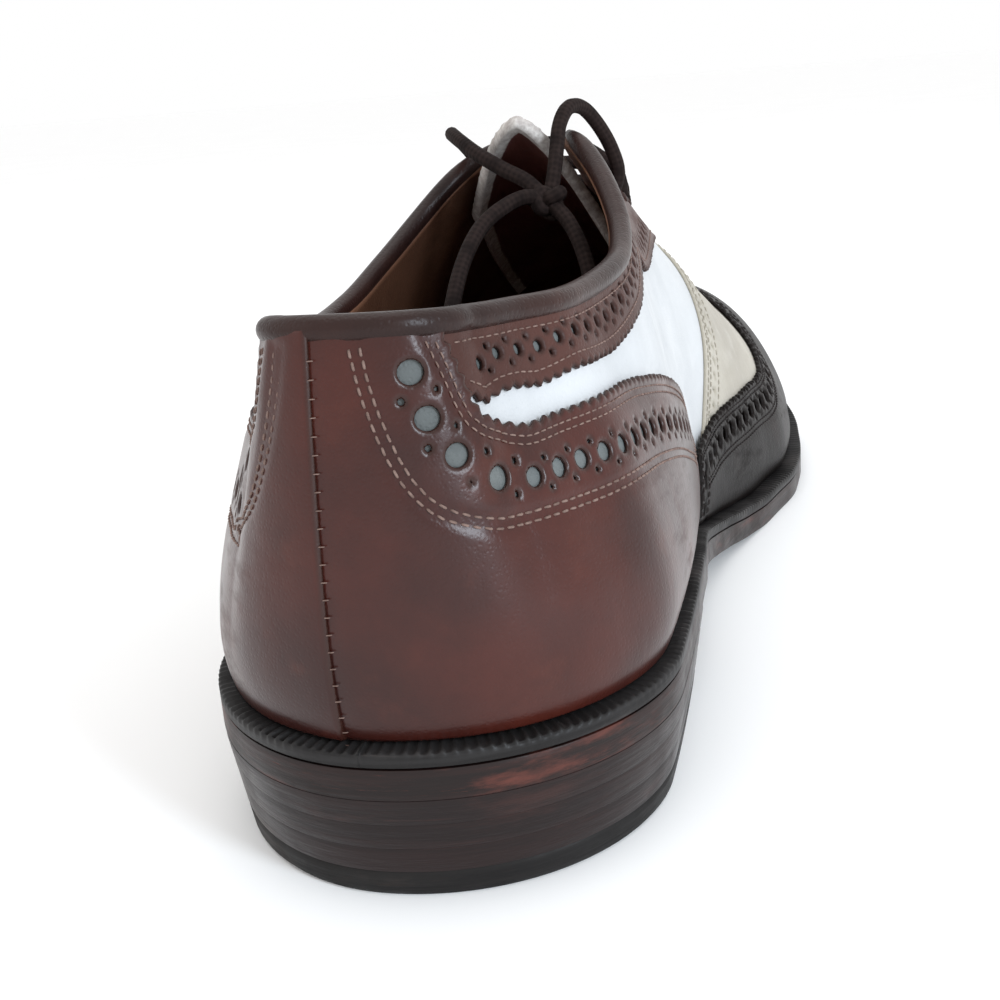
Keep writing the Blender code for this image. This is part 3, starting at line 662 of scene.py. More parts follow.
class Line:
    """A line on the last's surface, with signed distances: positive on the side of a seed point."""

    def __init__(self, points, seed=None, fit=True):
        points = np.asarray(points, float)
        if fit:
            points, self.normals = on_base(points)
        else:
            self.normals = on_base(points)[1]
        self.points = points
        steps = np.diff(points, axis=0)
        self.arc = np.concatenate([[0], np.cumsum(np.linalg.norm(steps, axis=1))])
        self.sign = 1.0
        if seed is not None:
            at, normal = on_base([seed])
            self.sign = 1.0 if self.near(at, normal)[0][0] > 0 else -1.0

    def near(self, points, normals):
        """Signed distance and arc of the nearest place: a coarse pick first, then the segments around it."""
        start, end = self.points[:-1], self.points[1:]
        run = end - start
        length2 = np.maximum((run * run).sum(axis=1), 1e-16)
        distance = np.empty(len(points))
        arc = np.empty(len(points))
        step = 8 if len(start) > 60 else 1
        coarse = np.arange(0, len(start), step)
        marks = start[coarse]
        around = np.arange(-step - 1, step + 2)
        for k in range(0, len(points), 40000):
            p, n = points[k:k + 40000], normals[k:k + 40000]
            rough = (marks * marks).sum(axis=1) - 2 * p @ marks.T
            window = np.clip(coarse[rough.argmin(axis=1)][:, None] + around, 0, len(start) - 1)
            offset = p[:, None] - start[window]
            t = np.clip((offset * run[window]).sum(axis=2) / length2[window], 0, 1)
            gap = offset - run[window] * t[..., None]
            d2 = (gap * gap).sum(axis=2)
            rows = np.arange(len(p))
            pick = d2.argmin(axis=1)
            best = window[rows, pick]
            tangent = run[best]
            left = np.cross(n, tangent)
            side = np.sign((left * gap[rows, pick]).sum(axis=1))
            distance[k:k + 40000] = np.sqrt(d2[rows, pick]) * np.where(side == 0, 1, side)
            arc[k:k + 40000] = self.arc[best] + t[rows, pick] * np.sqrt(length2[best])
        return distance * self.sign, arc

    def shift(self, distance):
        """The line moved over the surface to its positive side."""
        tangent = np.gradient(self.points, axis=0)
        tangent /= np.maximum(np.linalg.norm(tangent, axis=1, keepdims=True), 1e-12)
        left = np.cross(self.normals, tangent) * self.sign
        moved = Line(self.points + left * distance)
        keep = np.abs(self.near(moved.points, moved.normals)[0]) > abs(distance) * 0.93
        return Line(moved.points[keep], fit=False) if keep.sum() > 3 else moved

    def part(self, start, end):
        keep = (self.arc >= start) & (self.arc <= end)
        return Line(self.points[keep], fit=False)

    def resample(self, spacing, start=0.0, end=None):
        end = self.arc[-1] if end is None else end
        count = max(1, int((end - start) / spacing))
        at = np.linspace(start, end, count + 1)
        points = np.stack([np.interp(at, self.arc, self.points[:, k]) for k in range(3)], axis=-1)
        return on_base(points)


def trace(s, turns, seed=None):
    return Line(place(last(s, turns)), seed, fit=False)


def spot(side, a, z, axis=1):
    """Point of the last's surface, on one side, at a station (or a distance across, axis 0) and a height."""
    best = None
    low_s, high_s, low_t, high_t = 0.001, (0.999 if axis else 0.2), 0.0, 0.97
    for _ in range(4):
        s = np.linspace(low_s, high_s, 60)
        t = np.linspace(low_t, high_t, 60)
        points = last(np.broadcast_to(s[:, None] * side, (60, 60)), np.broadcast_to(t, (60, 60)))
        miss = (points[..., axis] - a) ** 2 + (points[..., 2] - z) ** 2
        i, j = np.unravel_index(miss.argmin(), miss.shape)
        best = points[i, j]
        ds, dt = (high_s - low_s) / 59 * 1.5, (high_t - low_t) / 59 * 1.5
        low_s, high_s, low_t, high_t = max(0.0005, s[i] - ds), min(0.9995, s[i] + ds), max(0.0, t[j] - dt), \
            min(0.99, t[j] + dt)
    return place(best)


def smooth_path(points, spacing=0.001):
    """Centripetal-like smooth curve through points."""
    points = [Vector(p) for p in points]
    ends = [points[0] * 2 - points[1]] + points + [points[-1] * 2 - points[-2]]
    route = []
    for i in range(1, len(ends) - 2):
        before, start, end, after = ends[i - 1:i + 3]
        steps = max(2, round((end - start).length / spacing))
        for k in range(steps):
            t = k / steps
            route.append(0.5 * (2 * start + (end - before) * t
                                + (2 * before - 5 * start + 4 * end - after) * t ** 2
                                + (3 * start - before - 3 * end + after) * t ** 3))
    return np.array([tuple(p) for p in route + [points[-1]]])


def clip(points, normals, faces, fields, extras):
    """Part of a mesh where the field is positive, cut through its faces."""
    inside = fields >= 0
    whole = inside[faces].all(axis=1)
    cut = inside[faces].any(axis=1) & ~whole
    new_points, new_normals, new_extras = [], [], []
    made = {}
    total = len(points)
    polygons = [tuple(f) for f in faces[whole].tolist()]
    for face in faces[cut].tolist():
        ring = []
        for k, corner in enumerate(face):
            after = face[(k + 1) % 4]
            if inside[corner]:
                ring.append(corner)
            if inside[corner] != inside[after]:
                key = (min(corner, after), max(corner, after))
                if key not in made:
                    a, b = key
                    t = fields[a] / (fields[a] - fields[b])
                    made[key] = total + len(new_points)
                    new_points.append(points[a] + (points[b] - points[a]) * t)
                    new_normals.append(normals[a] + (normals[b] - normals[a]) * t)
                    new_extras.append([e[a] + (e[b] - e[a]) * t for e in extras])
                ring.append(made[key])
        ring = [c for k, c in enumerate(ring) if c != ring[k - 1]]
        if len(ring) >= 3:
            polygons.append(tuple(ring))
    if new_points:
        points = np.concatenate([points, np.array(new_points)])
        normals = np.concatenate([normals, np.array(new_normals)])
        extras = [np.concatenate([e, np.array([row[i] for row in new_extras])]) for i, e in enumerate(extras)]
        fields = np.concatenate([fields, np.zeros(len(new_points))])
    used = np.unique(np.concatenate([np.array(p) for p in polygons]))
    back = -np.ones(len(points), dtype=int)
    back[used] = np.arange(len(used))
    polygons = [tuple(back[list(p)].tolist()) for p in polygons]
    return points[used], normals[used], polygons, fields[used], [e[used] for e in extras]


def sheet(name, grids, low, high, finish, slot, *nodes, field=None, relief=None, rim=0.0006, floor=0.0004,
          inner_finish=None):
    """Leather piece between two distances out from the last, cut where its field is negative, with rounded
    cut edges. relief(points, normals) adds height, such as grooves below stitches."""
    points, faces = join(grids)
    faces = outward_check(points, faces)
    normals = vertex_normals(points, faces)
    if field is None:
        edge = np.full(len(points), 0.01)
        polygons = [tuple(f) for f in faces.tolist()]
        lift = np.zeros(len(points)) if relief is None else relief(points, normals)
    else:
        edge = field(points, normals)
        lift = np.zeros(len(points)) if relief is None else relief(points, normals)
        points, normals, polygons, edge, (lift,) = clip(points, normals, faces, edge, [lift])
        normals /= np.linalg.norm(normals, axis=1, keepdims=True)
    near = np.clip(edge / rim, 0, 1)
    round_in = np.sqrt(np.maximum(0, 1 - (1 - near) ** 2))
    thick = (high - low) * (0.55 + 0.45 * round_in)
    top = points + normals * (low + thick + lift)[:, None]
    bottom = points + normals * low
    for layer in (top, bottom):
        station = SOLE_LENGTH / 2 - layer[:, 1]
        layer[:, 2] = np.maximum(layer[:, 2], welt_top(station) + floor)
    count = len(points)
    seen = {}
    for polygon in polygons:
        for k in range(len(polygon)):
            key = (polygon[k - 1], polygon[k])
            seen[key] = seen.get(key, 0) + 1
    rims = [(a, b) for a, b in seen if (b, a) not in seen]
    solid = polygons + [tuple(c + count for c in reversed(p)) for p in polygons]
    solid += [(b, a, a + count, b + count) for a, b in rims]
    picks = None
    finishes = None
    if inner_finish:
        finishes = [finish, inner_finish]
        picks = [0] * len(polygons) + [1] * (len(polygons) + len(rims))
    return mesh_object(name, np.concatenate([top, bottom]), solid, finish, slot, *nodes,
                       attributes={"edge": np.concatenate([edge, edge]) * 1000}, finishes=finishes,
                       picks=picks)


def grooves(*lines, depth=0.00022, width=0.0009):
    def relief(points, normals):
        lift = np.zeros(len(points))
        for line in lines:
            d = line.near(points, normals)[0]
            lift -= depth * np.exp(-(d / width) ** 2)
        return lift
    return relief


def pinked(line, pitch=0.0030, tooth=0.0009):
    """Distance to a line whose edge is cut in teeth."""
    def distance(points, normals):
        d, arc = line.near(points, normals)
        wave = np.abs((arc / pitch) % 1.0 - 0.5) * 2
        return d - tooth * wave
    return distance


def discs(spots, points):
    """Distance outside a set of round holes: positive outside them."""
    out = np.full(len(points), 1.0)
    for centre, radius in spots:
        close = np.abs(points - centre).max(axis=1) < 0.006
        d = np.linalg.norm(points[close] - centre, axis=1) - radius
        out[close] = np.minimum(out[close], d)
    return out


# ---- stitches: small rounded threads laid along lines
def capsule(length, thick, sides=5):
    """Points and faces of a stitch lying along +X, dipping at both ends."""
    rings = []
    profile = [(-0.50, 0.25, -0.42), (-0.44, 0.75, -0.12), (-0.26, 1.0, 0.10), (0.0, 1.0, 0.16),
               (0.26, 1.0, 0.10), (0.44, 0.75, -0.12), (0.50, 0.25, -0.42)]
    for along, wide, rise in profile:
        ring = []
        for k in range(sides):
            angle = 2 * math.pi * k / sides
            ring.append((along * length, math.cos(angle) * thick / 2 * wide,
                         math.sin(angle) * thick / 2 * wide + rise * thick))
        rings.append(ring)
    points = [p for ring in rings for p in ring]
    faces = []
    for i in range(len(rings) - 1):
        for k in range(sides):
            a, b = i * sides + k, i * sides + (k + 1) % sides
            faces.append((a, b, b + sides, a + sides))
    faces.append(tuple(range(sides))[::-1])
    faces.append(tuple((len(rings) - 1) * sides + k for k in range(sides)))
    return np.array(points), faces


def stitches(name, rows, finish, slot):
    """Rows of stitches as one piece. A row: line, pitch, stitch length, thickness, height over the last."""
    all_points, all_faces = [], []
    offset = 0
    for line, pitch, length, thick, height in rows:
        points, normals = line.resample(pitch)
        tangents = np.gradient(points, axis=0)
        gap = np.array([np.linalg.norm(line.points - point, axis=1).min() for point in points])
        points, normals, tangents = points[gap < 0.002], normals[gap < 0.002], tangents[gap < 0.002]
        shape, faces = capsule(length, thick)
        for point, normal, tangent in zip(points, normals, tangents):
            tangent = tangent - normal * (tangent @ normal)
            size = np.linalg.norm(tangent)
            if size < 1e-9:
                continue
            tangent = tangent / size
            wobble = 0.05 * math.sin(97.0 * (point[0] + point[1] + point[2]) * 40)
            side = np.cross(normal, tangent)
            tangent = tangent * math.cos(wobble) + side * math.sin(wobble)
            side = np.cross(normal, tangent)
            all_points.append(point + normal * height + shape[:, :1] * tangent + shape[:, 1:2] * side
                              + shape[:, 2:] * normal)
            all_faces += [tuple(c + offset for c in face) for face in faces]
            offset += len(shape)
    return mesh_object(name, np.concatenate(all_points), all_faces, finish, slot)


def tube(name, path, radius, finish, slot, *nodes, sides=12, ends=True):
    """Round tube along a path, with its own coordinates for a weave."""
    path = np.asarray(path, float)
    tangents = np.gradient(path, axis=0)
    tangents /= np.linalg.norm(tangents, axis=1, keepdims=True)
    normal = np.cross(tangents[0], (0.3, 0.2, 1.0))
    normal /= np.linalg.norm(normal)
    arc = np.concatenate([[0], np.cumsum(np.linalg.norm(np.diff(path, axis=0), axis=1))])
    points, around, length = [], [], []
    for i, (point, tangent) in enumerate(zip(path, tangents)):
        normal = normal - tangent * (normal @ tangent)
        normal /= np.linalg.norm(normal)
        side = np.cross(tangent, normal)
        r = radius if np.isscalar(radius) else radius[i]
        for k in range(sides):
            angle = 2 * math.pi * k / sides
            points.append(point + (normal * math.cos(angle) + side * math.sin(angle)) * r)
            around.append(angle)
            length.append(arc[i])
    faces = []
    for i in range(len(path) - 1):
        for k in range(sides):
            a, b = i * sides + k, i * sides + (k + 1) % sides
            faces.append((a, b, b + sides, a + sides))
    if ends:
        faces.append(tuple(range(sides))[::-1])
        faces.append(tuple((len(path) - 1) * sides + k for k in range(sides)))
    return mesh_object(name, points, faces, finish, slot, *nodes,
                       attributes={"around": around, "length": length})


# ---- laces first: free strands, knot and tails
def strand_route(rows, spacing=0.0012):
    return smooth_path([place(np.array(row) / 1000) for row in rows], spacing)


def route_length(path):
    return float(np.linalg.norm(np.diff(path, axis=0), axis=1).sum())


def lace_pieces():
    knot_at = place(np.array(KNOT_AT) / 1000)
    t = np.linspace(0, 2 * math.pi, 120)
    loop = np.stack([
        (np.sin(t) + 2 * np.sin(2 * t)) * 0.00088,
        (np.cos(t) - 2 * np.cos(2 * t)) * 0.00088,
        -np.sin(3 * t) * 0.0011], axis=-1)
    turn = np.array(Matrix.Rotation(math.radians(60), 3, "X") @ Matrix.Rotation(math.radians(25), 3, "Y"))
    knot = tube("laces_knot", knot_at + loop @ turn.T, LACE / 2 * 0.98, COTTON, "lace_cotton", "lace_knot",
                ends=False)
    for name, rows in STRANDS.items():
        arch = "arch" in name
        route = [tuple(row) for row in rows]
        if arch:
            sign = INNER if "inner" in name else OUTER
            a = BAR_FIRST - (BAR_LAST - BAR_FIRST) / (BAR_COUNT - 1)
            hole = last(sign * float(along_at(a)), ridge_turn(np.array([sign * float(along_at(a))]),
                                                             facing_half(np.array([a])) + EYELET_IN))[0]
            route = [tuple(hole * 1000)] + route + [KNOT_AT]
        else:
            route = [KNOT_AT] + route
        path = strand_route(route)
        radius = np.full(len(path), LACE / 2)
        piece = tube(name.replace("lace_", "laces_"), path, radius, COTTON, "lace_cotton", name)
        route_length(path)


lace_pieces()


def lace_bars():
    height = 0.0005 + 0.0012 + GAP + LACE / 2
    for i in range(BAR_COUNT):
        a = BAR_FIRST + (BAR_LAST - BAR_FIRST) * i / (BAR_COUNT - 1)
        s = float(along_at(a))
        reach = float(facing_half(np.array(a))) + EYELET_IN
        path = []
        for side, shares in ((INNER, np.linspace(1, 0.02, 14)), (OUTER, np.linspace(0.02, 1, 14))):
            turns = ridge_turn(np.full(14, s * side), reach * shares)
            points = place(last(np.full(14, s * side), turns))
            normals = on_base(points)[1]
            dip = np.clip((shares - 0.80) / 0.20, 0, 1)[:, None]
            path += list(points + normals * (height - dip ** 2 * 0.0022))
        tube(f"laces_bar_{i + 1}", smooth_path(path, 0.0015), LACE / 2, COTTON, "lace_cotton",
             f"lace_bar_{i + 1}")


lace_bars()


# ---- sole unit
def loop_places(end, count):
    inner = -np.linspace(end, 0, count)[:-1] - 1e-12
    outer = np.linspace(0, end, count)
    return np.concatenate([inner, outer])


def slab(name, levels, finish, slot, *nodes, end=1.0, count=260, hollow=0.0, across=6):
    """Closed plate with a profiled edge. A level: extra(s), height(a)."""
    s = loop_places(end, count)
    n = len(s)
    points, faces = [], []
    for extra, height in levels:
        x, a = outline(s, extra(np.abs(s)))
        points.append(place(np.stack([x, a, height(a)], axis=-1)))
    rows = len(levels)
    closed = end > 0.999
    for i in range(rows - 1):
        for k in range(n if closed else n - 1):
            after = (k + 1) % n
            faces.append((i * n + k, i * n + after, (i + 1) * n + after, (i + 1) * n + k))
    points = list(np.concatenate(points))
    half = count - 1
    caps = {}
    for level, flip in ((0, True), (rows - 1, False)):
        lines = []
        for k in range(count):
            left, right = level * n + k, level * n + (n - 1 - k)
            line = [left]
            if left != right:
                reach = abs(s[k])
                draw = hollow * float(ease(3 * reach / end - 2))
                for j in range(1, across):
                    t = j / across
                    point = points[left] * (1 - t) + points[right] * t
                    point = point + np.array((0, draw * 4 * t * (1 - t), 0))
                    points.append(point)
                    line.append(len(points) - 1)
                line.append(right)
            else:
                line = [left] * (across + 1)
            lines.append(line)
        caps[level] = lines[0]
        for k in range(len(lines) - 1):
            for j in range(across):
                face = [lines[k][j], lines[k][j + 1], lines[k + 1][j + 1], lines[k + 1][j]]
                face = [c for m, c in enumerate(face) if c != face[m - 1]]
                if len(face) >= 3:
                    faces.append(tuple(face if flip else face[::-1]))
    if not closed:
        low, high = caps[0], caps[rows - 1]
        columns = []
        for j in range(across + 1):
            if j == 0:
                columns.append([i * n for i in range(rows)])
            elif j == across:
                columns.append([i * n + n - 1 for i in range(rows)])
            else:
                column = [low[j]]
                for i in range(1, rows - 1):
                    t = i / (rows - 1)
                    points.append(points[low[j]] * (1 - t) + points[high[j]] * t)
                    column.append(len(points) - 1)
                columns.append(column + [high[j]])
        for j in range(across):
            for i in range(rows - 1):
                faces.append((columns[j][i], columns[j][i + 1], columns[j + 1][i + 1], columns[j + 1][i]))
    thing = mesh_object(name, points, faces, finish, slot, *nodes)
    thing.data.set_sharp_from_angle(angle=math.radians(42))
    return thing


def levels_between(low, high, depth, inset, reach, rows=5):
    """Edge profile of one layer: rounded corners, drawn in by depth at both faces."""
    made = []
    for i in range(rows + 1):
        t = i / rows
        draw = depth * max(0.0, 1 - min(t, 1 - t) / 0.16) ** 2
        made.append((lambda s, t=t, draw=draw: reach(s) - draw - inset(t),
                     lambda a, t=t: low(a) + (high(a) - low(a)) * t))
    return made


def flat_at(value):
    return lambda a: np.full(np.shape(a), value)


def build_sole():
    breast = float(along_at(HEEL_LENGTH))
    lift = (HEEL_HEIGHT - TOP_LIFT) / LIFT_COUNT
    for i in range(LIFT_COUNT + 1):
        low = 0.0 if i == 0 else TOP_LIFT + lift * (i - 1)
        high = TOP_LIFT + lift * i - 0.00003
        levels = levels_between(flat_at(low), flat_at(high), 0.00012 if i else 0.0005,
                                lambda t, low=low,
                                high=high: HEEL_TAPER * (1 - (low + (high - low) * t) / HEEL_HEIGHT),
                                welt_reach, rows=6)
        slab("heel_cap" if i == 0 else f"heel_layer_{i}", levels, RUBBER if i == 0 else HEEL,
             "rubber" if i == 0 else "edge_leather", "top_lift" if i == 0 else f"heel_lift_{i}",
             end=breast, count=150, hollow=BREAST_HOLLOW)
    slab("sole_edge", levels_between(ground, lambda a: ground(a) + OUTSOLE - 0.00003, 0.00018, lambda t: 0.0,
                                     welt_reach, rows=7), EDGE, "edge_leather", "outsole", count=420)
    slab("insole_sock", [(lambda s: np.full(np.shape(s), -WALL - 3 * GAP),
                          lambda a: ground(a) + OUTSOLE + GAP),
                         (lambda s: np.full(np.shape(s), -WALL - 3 * GAP),
                          lambda a: welt_top(a) + INSOLE - 0.0006),
                         (lambda s: np.full(np.shape(s), -WALL - 0.0018), lambda a: welt_top(a) + INSOLE)],
         LINING, "lining_leather", "insole", count=300)
    slab("heel_pad", [(lambda s: np.full(np.shape(s), -WALL - 0.0030), lambda a: welt_top(a) + INSOLE),
                      (lambda s: np.full(np.shape(s), -WALL - 0.0030),
                       lambda a: welt_top(a) + INSOLE + 0.0005),
                      (lambda s: np.full(np.shape(s), -WALL - 0.0036),
                       lambda a: welt_top(a) + INSOLE + 0.0008)],
         TONGUE_BROWN, "lining_leather", end=float(along_at(0.085)), count=120, hollow=-0.010)


def build_welt():
    """Welt with a wheeled top: fine notches all round, and a rounded edge."""
    inner, outer = arc_places(-0.99999, -1e-9, 0.00030), arc_places(1e-9, 0.99999, 0.00030)
    s = np.concatenate([inner, outer])
    x, a = outline(s, welt_reach(np.abs(s)))
    arc = np.concatenate([[0], np.cumsum(np.hypot(np.diff(x), np.diff(a)))])
    wave = 0.5 - 0.5 * np.cos(2 * math.pi * arc / 0.0018)
    notch = (1 - wave ** 2.2) * (0.00050 + 0.00018 * np.sin(arc * 310) * np.sin(arc * 173))
    rows = []
    reach = welt_reach(np.abs(s))
    for share, drop, cut in ((-9, 0.0, 0.0), (0.12, 0.0, 0.15), (0.30, 0.0, 1.0), (0.70, 0.0, 1.0),
                             (0.90, 0.00015, 0.9),
                             (1.0, 0.0006, 0.45), (1.0, 0.0016, 0.1), (1.0, 0.0025, 0.0),
                             (0.97, 0.00264, 0.0),
                             (-9, 0.00264, 0.0)):
        extra = (np.full(len(s), -WALL - GAP) if share < -1
                 else reach * share - notch * cut * (0.35 if share >= 1 else 0))
        px, pa = outline(s, extra)
        rows.append(place(np.stack([px, pa, welt_top(pa) - drop - notch * cut * (share < 1)], axis=-1)))
    n, m = len(s), len(rows)
    points = np.concatenate(rows)
    faces = []
    for i in range(m):
        after = (i + 1) % m
        for k in range(n):
            k2 = (k + 1) % n
            faces.append((i * n + k, after * n + k, after * n + k2, i * n + k2))
    mesh_object("welt_wheeled", points, faces, WELTING, "welt_leather", "welt")


build_sole()
build_welt()


# ---- lines of the pattern
EPS = 1e-9
S_FRONT = float(along_at(FOXING_FRONT))
S_STAY = float(along_at(STAY_FRONT))
TOE_SEED = place(last(0.80, 0.5))
LINES = {}
for sign, word in ((INNER, "inner"), (OUTER, "outer")):
    s = sign * np.linspace(EPS, S_FRONT + 0.02, 700)
    LINES["fox_" + word] = trace(s, foxing_turn(s), seed=place(last(sign * 0.25, 0.12)))
    s = sign * np.linspace(float(along_at(0.0052)), S_STAY + 0.03, 600)
    turns = stay_turn(s)
    for _ in range(3):
        turns = np.convolve(np.pad(turns, 20, mode="edge"), np.ones(41) / 41, mode="valid")
    inside = float(edge_turn(np.array([sign * 0.25]))[0]) - 0.02
    LINES["stay_" + word] = trace(s, turns, seed=place(last(sign * 0.25, inside)))
    s = sign * np.linspace(0.004, 0.56, 500)
    LINES["top_" + word] = trace(s, edge_turn(s), seed=place(last(sign * 0.25, 0.12)))
    turns = np.linspace(0, 1, 300)
    stations = SOLE_LENGTH * (wing_inner if sign == INNER else wing_outer)(turns)
    LINES["wing_" + word] = trace(sign * along_at(stations), turns, seed=TOE_SEED)

turns = np.linspace(0, 0.62, 80)
LINES["seam"] = trace(np.full(80, SEAM_AT), turns, seed=place(last(-0.1, 0.2)))
for sign, word in ((INNER, "inner"), (OUTER, "outer")):
    LINES["front_" + word] = trace(np.full(80, sign * S_FRONT), turns, seed=place(last(sign * 0.25, 0.12)))
    LINES["stay_front_" + word] = trace(np.full(80, sign * S_STAY), np.linspace(0.2, 1.0, 80),
                                        seed=place(last(sign * 0.40, 0.42)))


def vamp_line():
    rows = [(0.1245, 0.0215), (0.1320, 0.0270), (0.1410, 0.0335), (0.1510, 0.0415), (0.1600, 0.0505),
            (0.1680, 0.0600), (0.1750, 0.0690)]
    inner = [spot(INNER, a, z) for a, z in rows]
    outer = [spot(OUTER, a, z) for a, z in rows]
    top = place(last(float(along_at(0.1860)), 1.0))
    return Line(smooth_path(inner + [top] + outer[::-1], 0.0015), seed=TOE_SEED)


LINES["vamp"] = vamp_line()


def both(make):
    return [(make(INNER), True), (make(OUTER), False)]


def rows_to(top, spacing=0.0006, reach=0.11, low=0.0):
    """Rows of turns from low up to a top that differs by column."""
    count = int(reach / spacing)
    return low + (np.asarray(top)[:, None] - low) * np.linspace(0, 1, count + 1)[None, :]


def build_wall():
    def grid(sign):
        s = arc_places(0.0, 0.9999, 0.0023) * sign
        s[0] = -EPS if sign == INNER else EPS
        return base_grid(s, rows_to(edge_turn(s), 0.0024))

    def field(points, normals):
        d = np.minimum(np.abs(LINES["top_inner"].near(points, normals)[0]),
                       np.abs(LINES["top_outer"].near(points, normals)[0]))
        return d + 1e-6
    sheet("quarter_wall", both(grid), -WALL, 0.0, WHITE, "white_leather", "upper", field=field,
          inner_finish=LINING)


def build_vamp():
    def grid(sign):
        s = arc_places(0.385, 0.9999, 0.0013) * sign
        return base_grid(s, rows_to(edge_turn(s), 0.0013))
    line = LINES["vamp"]
    punches = []
    row = line.shift(0.0062)
    points, _ = row.resample(0.0042)
    punches += [(p, 0.00085) for p in points]

    def field(points, normals):
        d = line.near(points, normals)[0]
        return np.minimum(d, discs(punches, points))
    sheet("vamp_cream", both(grid), 0.0, 0.0008, CREAM, "white_leather", field=field,
          relief=grooves(line.shift(0.0018), line.shift(0.0034), line.shift(0.0090)))
    stitches("vamp_stitches", [(line.shift(d), 0.0021, 0.0016, 0.00045, 0.00068) for d in (0.0018, 0.0034,
                                                                                           0.0090)],
             THREAD_CREAM, "white_leather")


def punch_rows(line, offset, pitch, big, small, start, end, spread=0.0023, first=0.7):
    """Big round punches along a line, with pairs of small ones between them."""
    row = line.shift(offset) if offset else line
    points, normals = row.resample(pitch, pitch * first)
    tangents = np.gradient(points, axis=0)
    tangents /= np.maximum(np.linalg.norm(tangents, axis=1, keepdims=True), 1e-9)
    spots = []
    for i, point in enumerate(points):
        station = SOLE_LENGTH / 2 - point[1]
        if not start <= station <= end:
            continue
        spots.append((point, big))
        if i + 1 < len(points) and np.linalg.norm(points[i + 1] - point) < 2 * pitch:
            middle = (point + points[i + 1]) / 2
            left = np.cross(normals[i], tangents[i])
            spots += [(middle + left * spread, small), (middle - left * spread, small)]
    return spots


# rows round the heel: first places by distance from the middle and height, then by station and height, in mm
PUNCHED_BACK = {
    INNER: [(10.6, 79.0), (12.3, 72.6), (15.4, 67.0), (19.6, 62.4)],
    OUTER: [(13.6, 76.6), (15.9, 69.8), (19.0, 63.2), (23.0, 58.6)],
}
PUNCHED_SIDE = {
    INNER: [(18.5, 60.9), (27.0, 60.8), (36.0, 60.4), (46.0, 59.6), (54.1, 58.6), (62.4, 56.9), (74.3, 53.6),
            (92.0, 48.0), (108.0, 42.2), (117.0, 38.3)],
    OUTER: [(18.5, 56.6), (27.0, 55.9), (36.0, 55.1), (46.0, 54.0), (54.1, 52.8), (62.4, 51.0), (74.3, 48.0),
            (92.0, 43.0), (108.0, 37.9), (117.0, 34.7)],
}
STITCHED_BACK = {
    INNER: [(4.0, 84.5), (4.8, 78.8), (6.2, 73.3), (8.1, 67.8), (10.5, 63.2), (13.8, 59.6), (18.6, 57.0)],
    OUTER: [(6.2, 83.0), (7.6, 76.6), (9.4, 70.6), (11.6, 65.0), (14.2, 60.0), (17.4, 56.0), (21.6, 53.2)],
}
STITCHED_SIDE = {
    INNER: [(14.5, 55.9), (27.3, 55.3), (40.0, 55.0), (52.0, 53.6), (65.4, 50.8), (80.0, 46.0),
            (97.0, 40.0), (115.0, 33.2)],
    OUTER: [(14.5, 52.0), (27.3, 50.6), (40.0, 49.6), (52.0, 48.0), (65.4, 45.2), (80.0, 41.0),
            (97.0, 35.8), (115.0, 30.6)],
}


def row_spots(back, side, sign):
    points = [spot(sign, sign * x / 1000, z / 1000, 0) for x, z in back[sign]]
    return points, [spot(sign, a / 1000, z / 1000) for a, z in side[sign]]


def row_line(back, side, sign):
    first, rest = row_spots(back, side, sign)
    return Line(smooth_path(first + rest, 0.0012), seed=place(last(sign * 0.30, 0.55)))


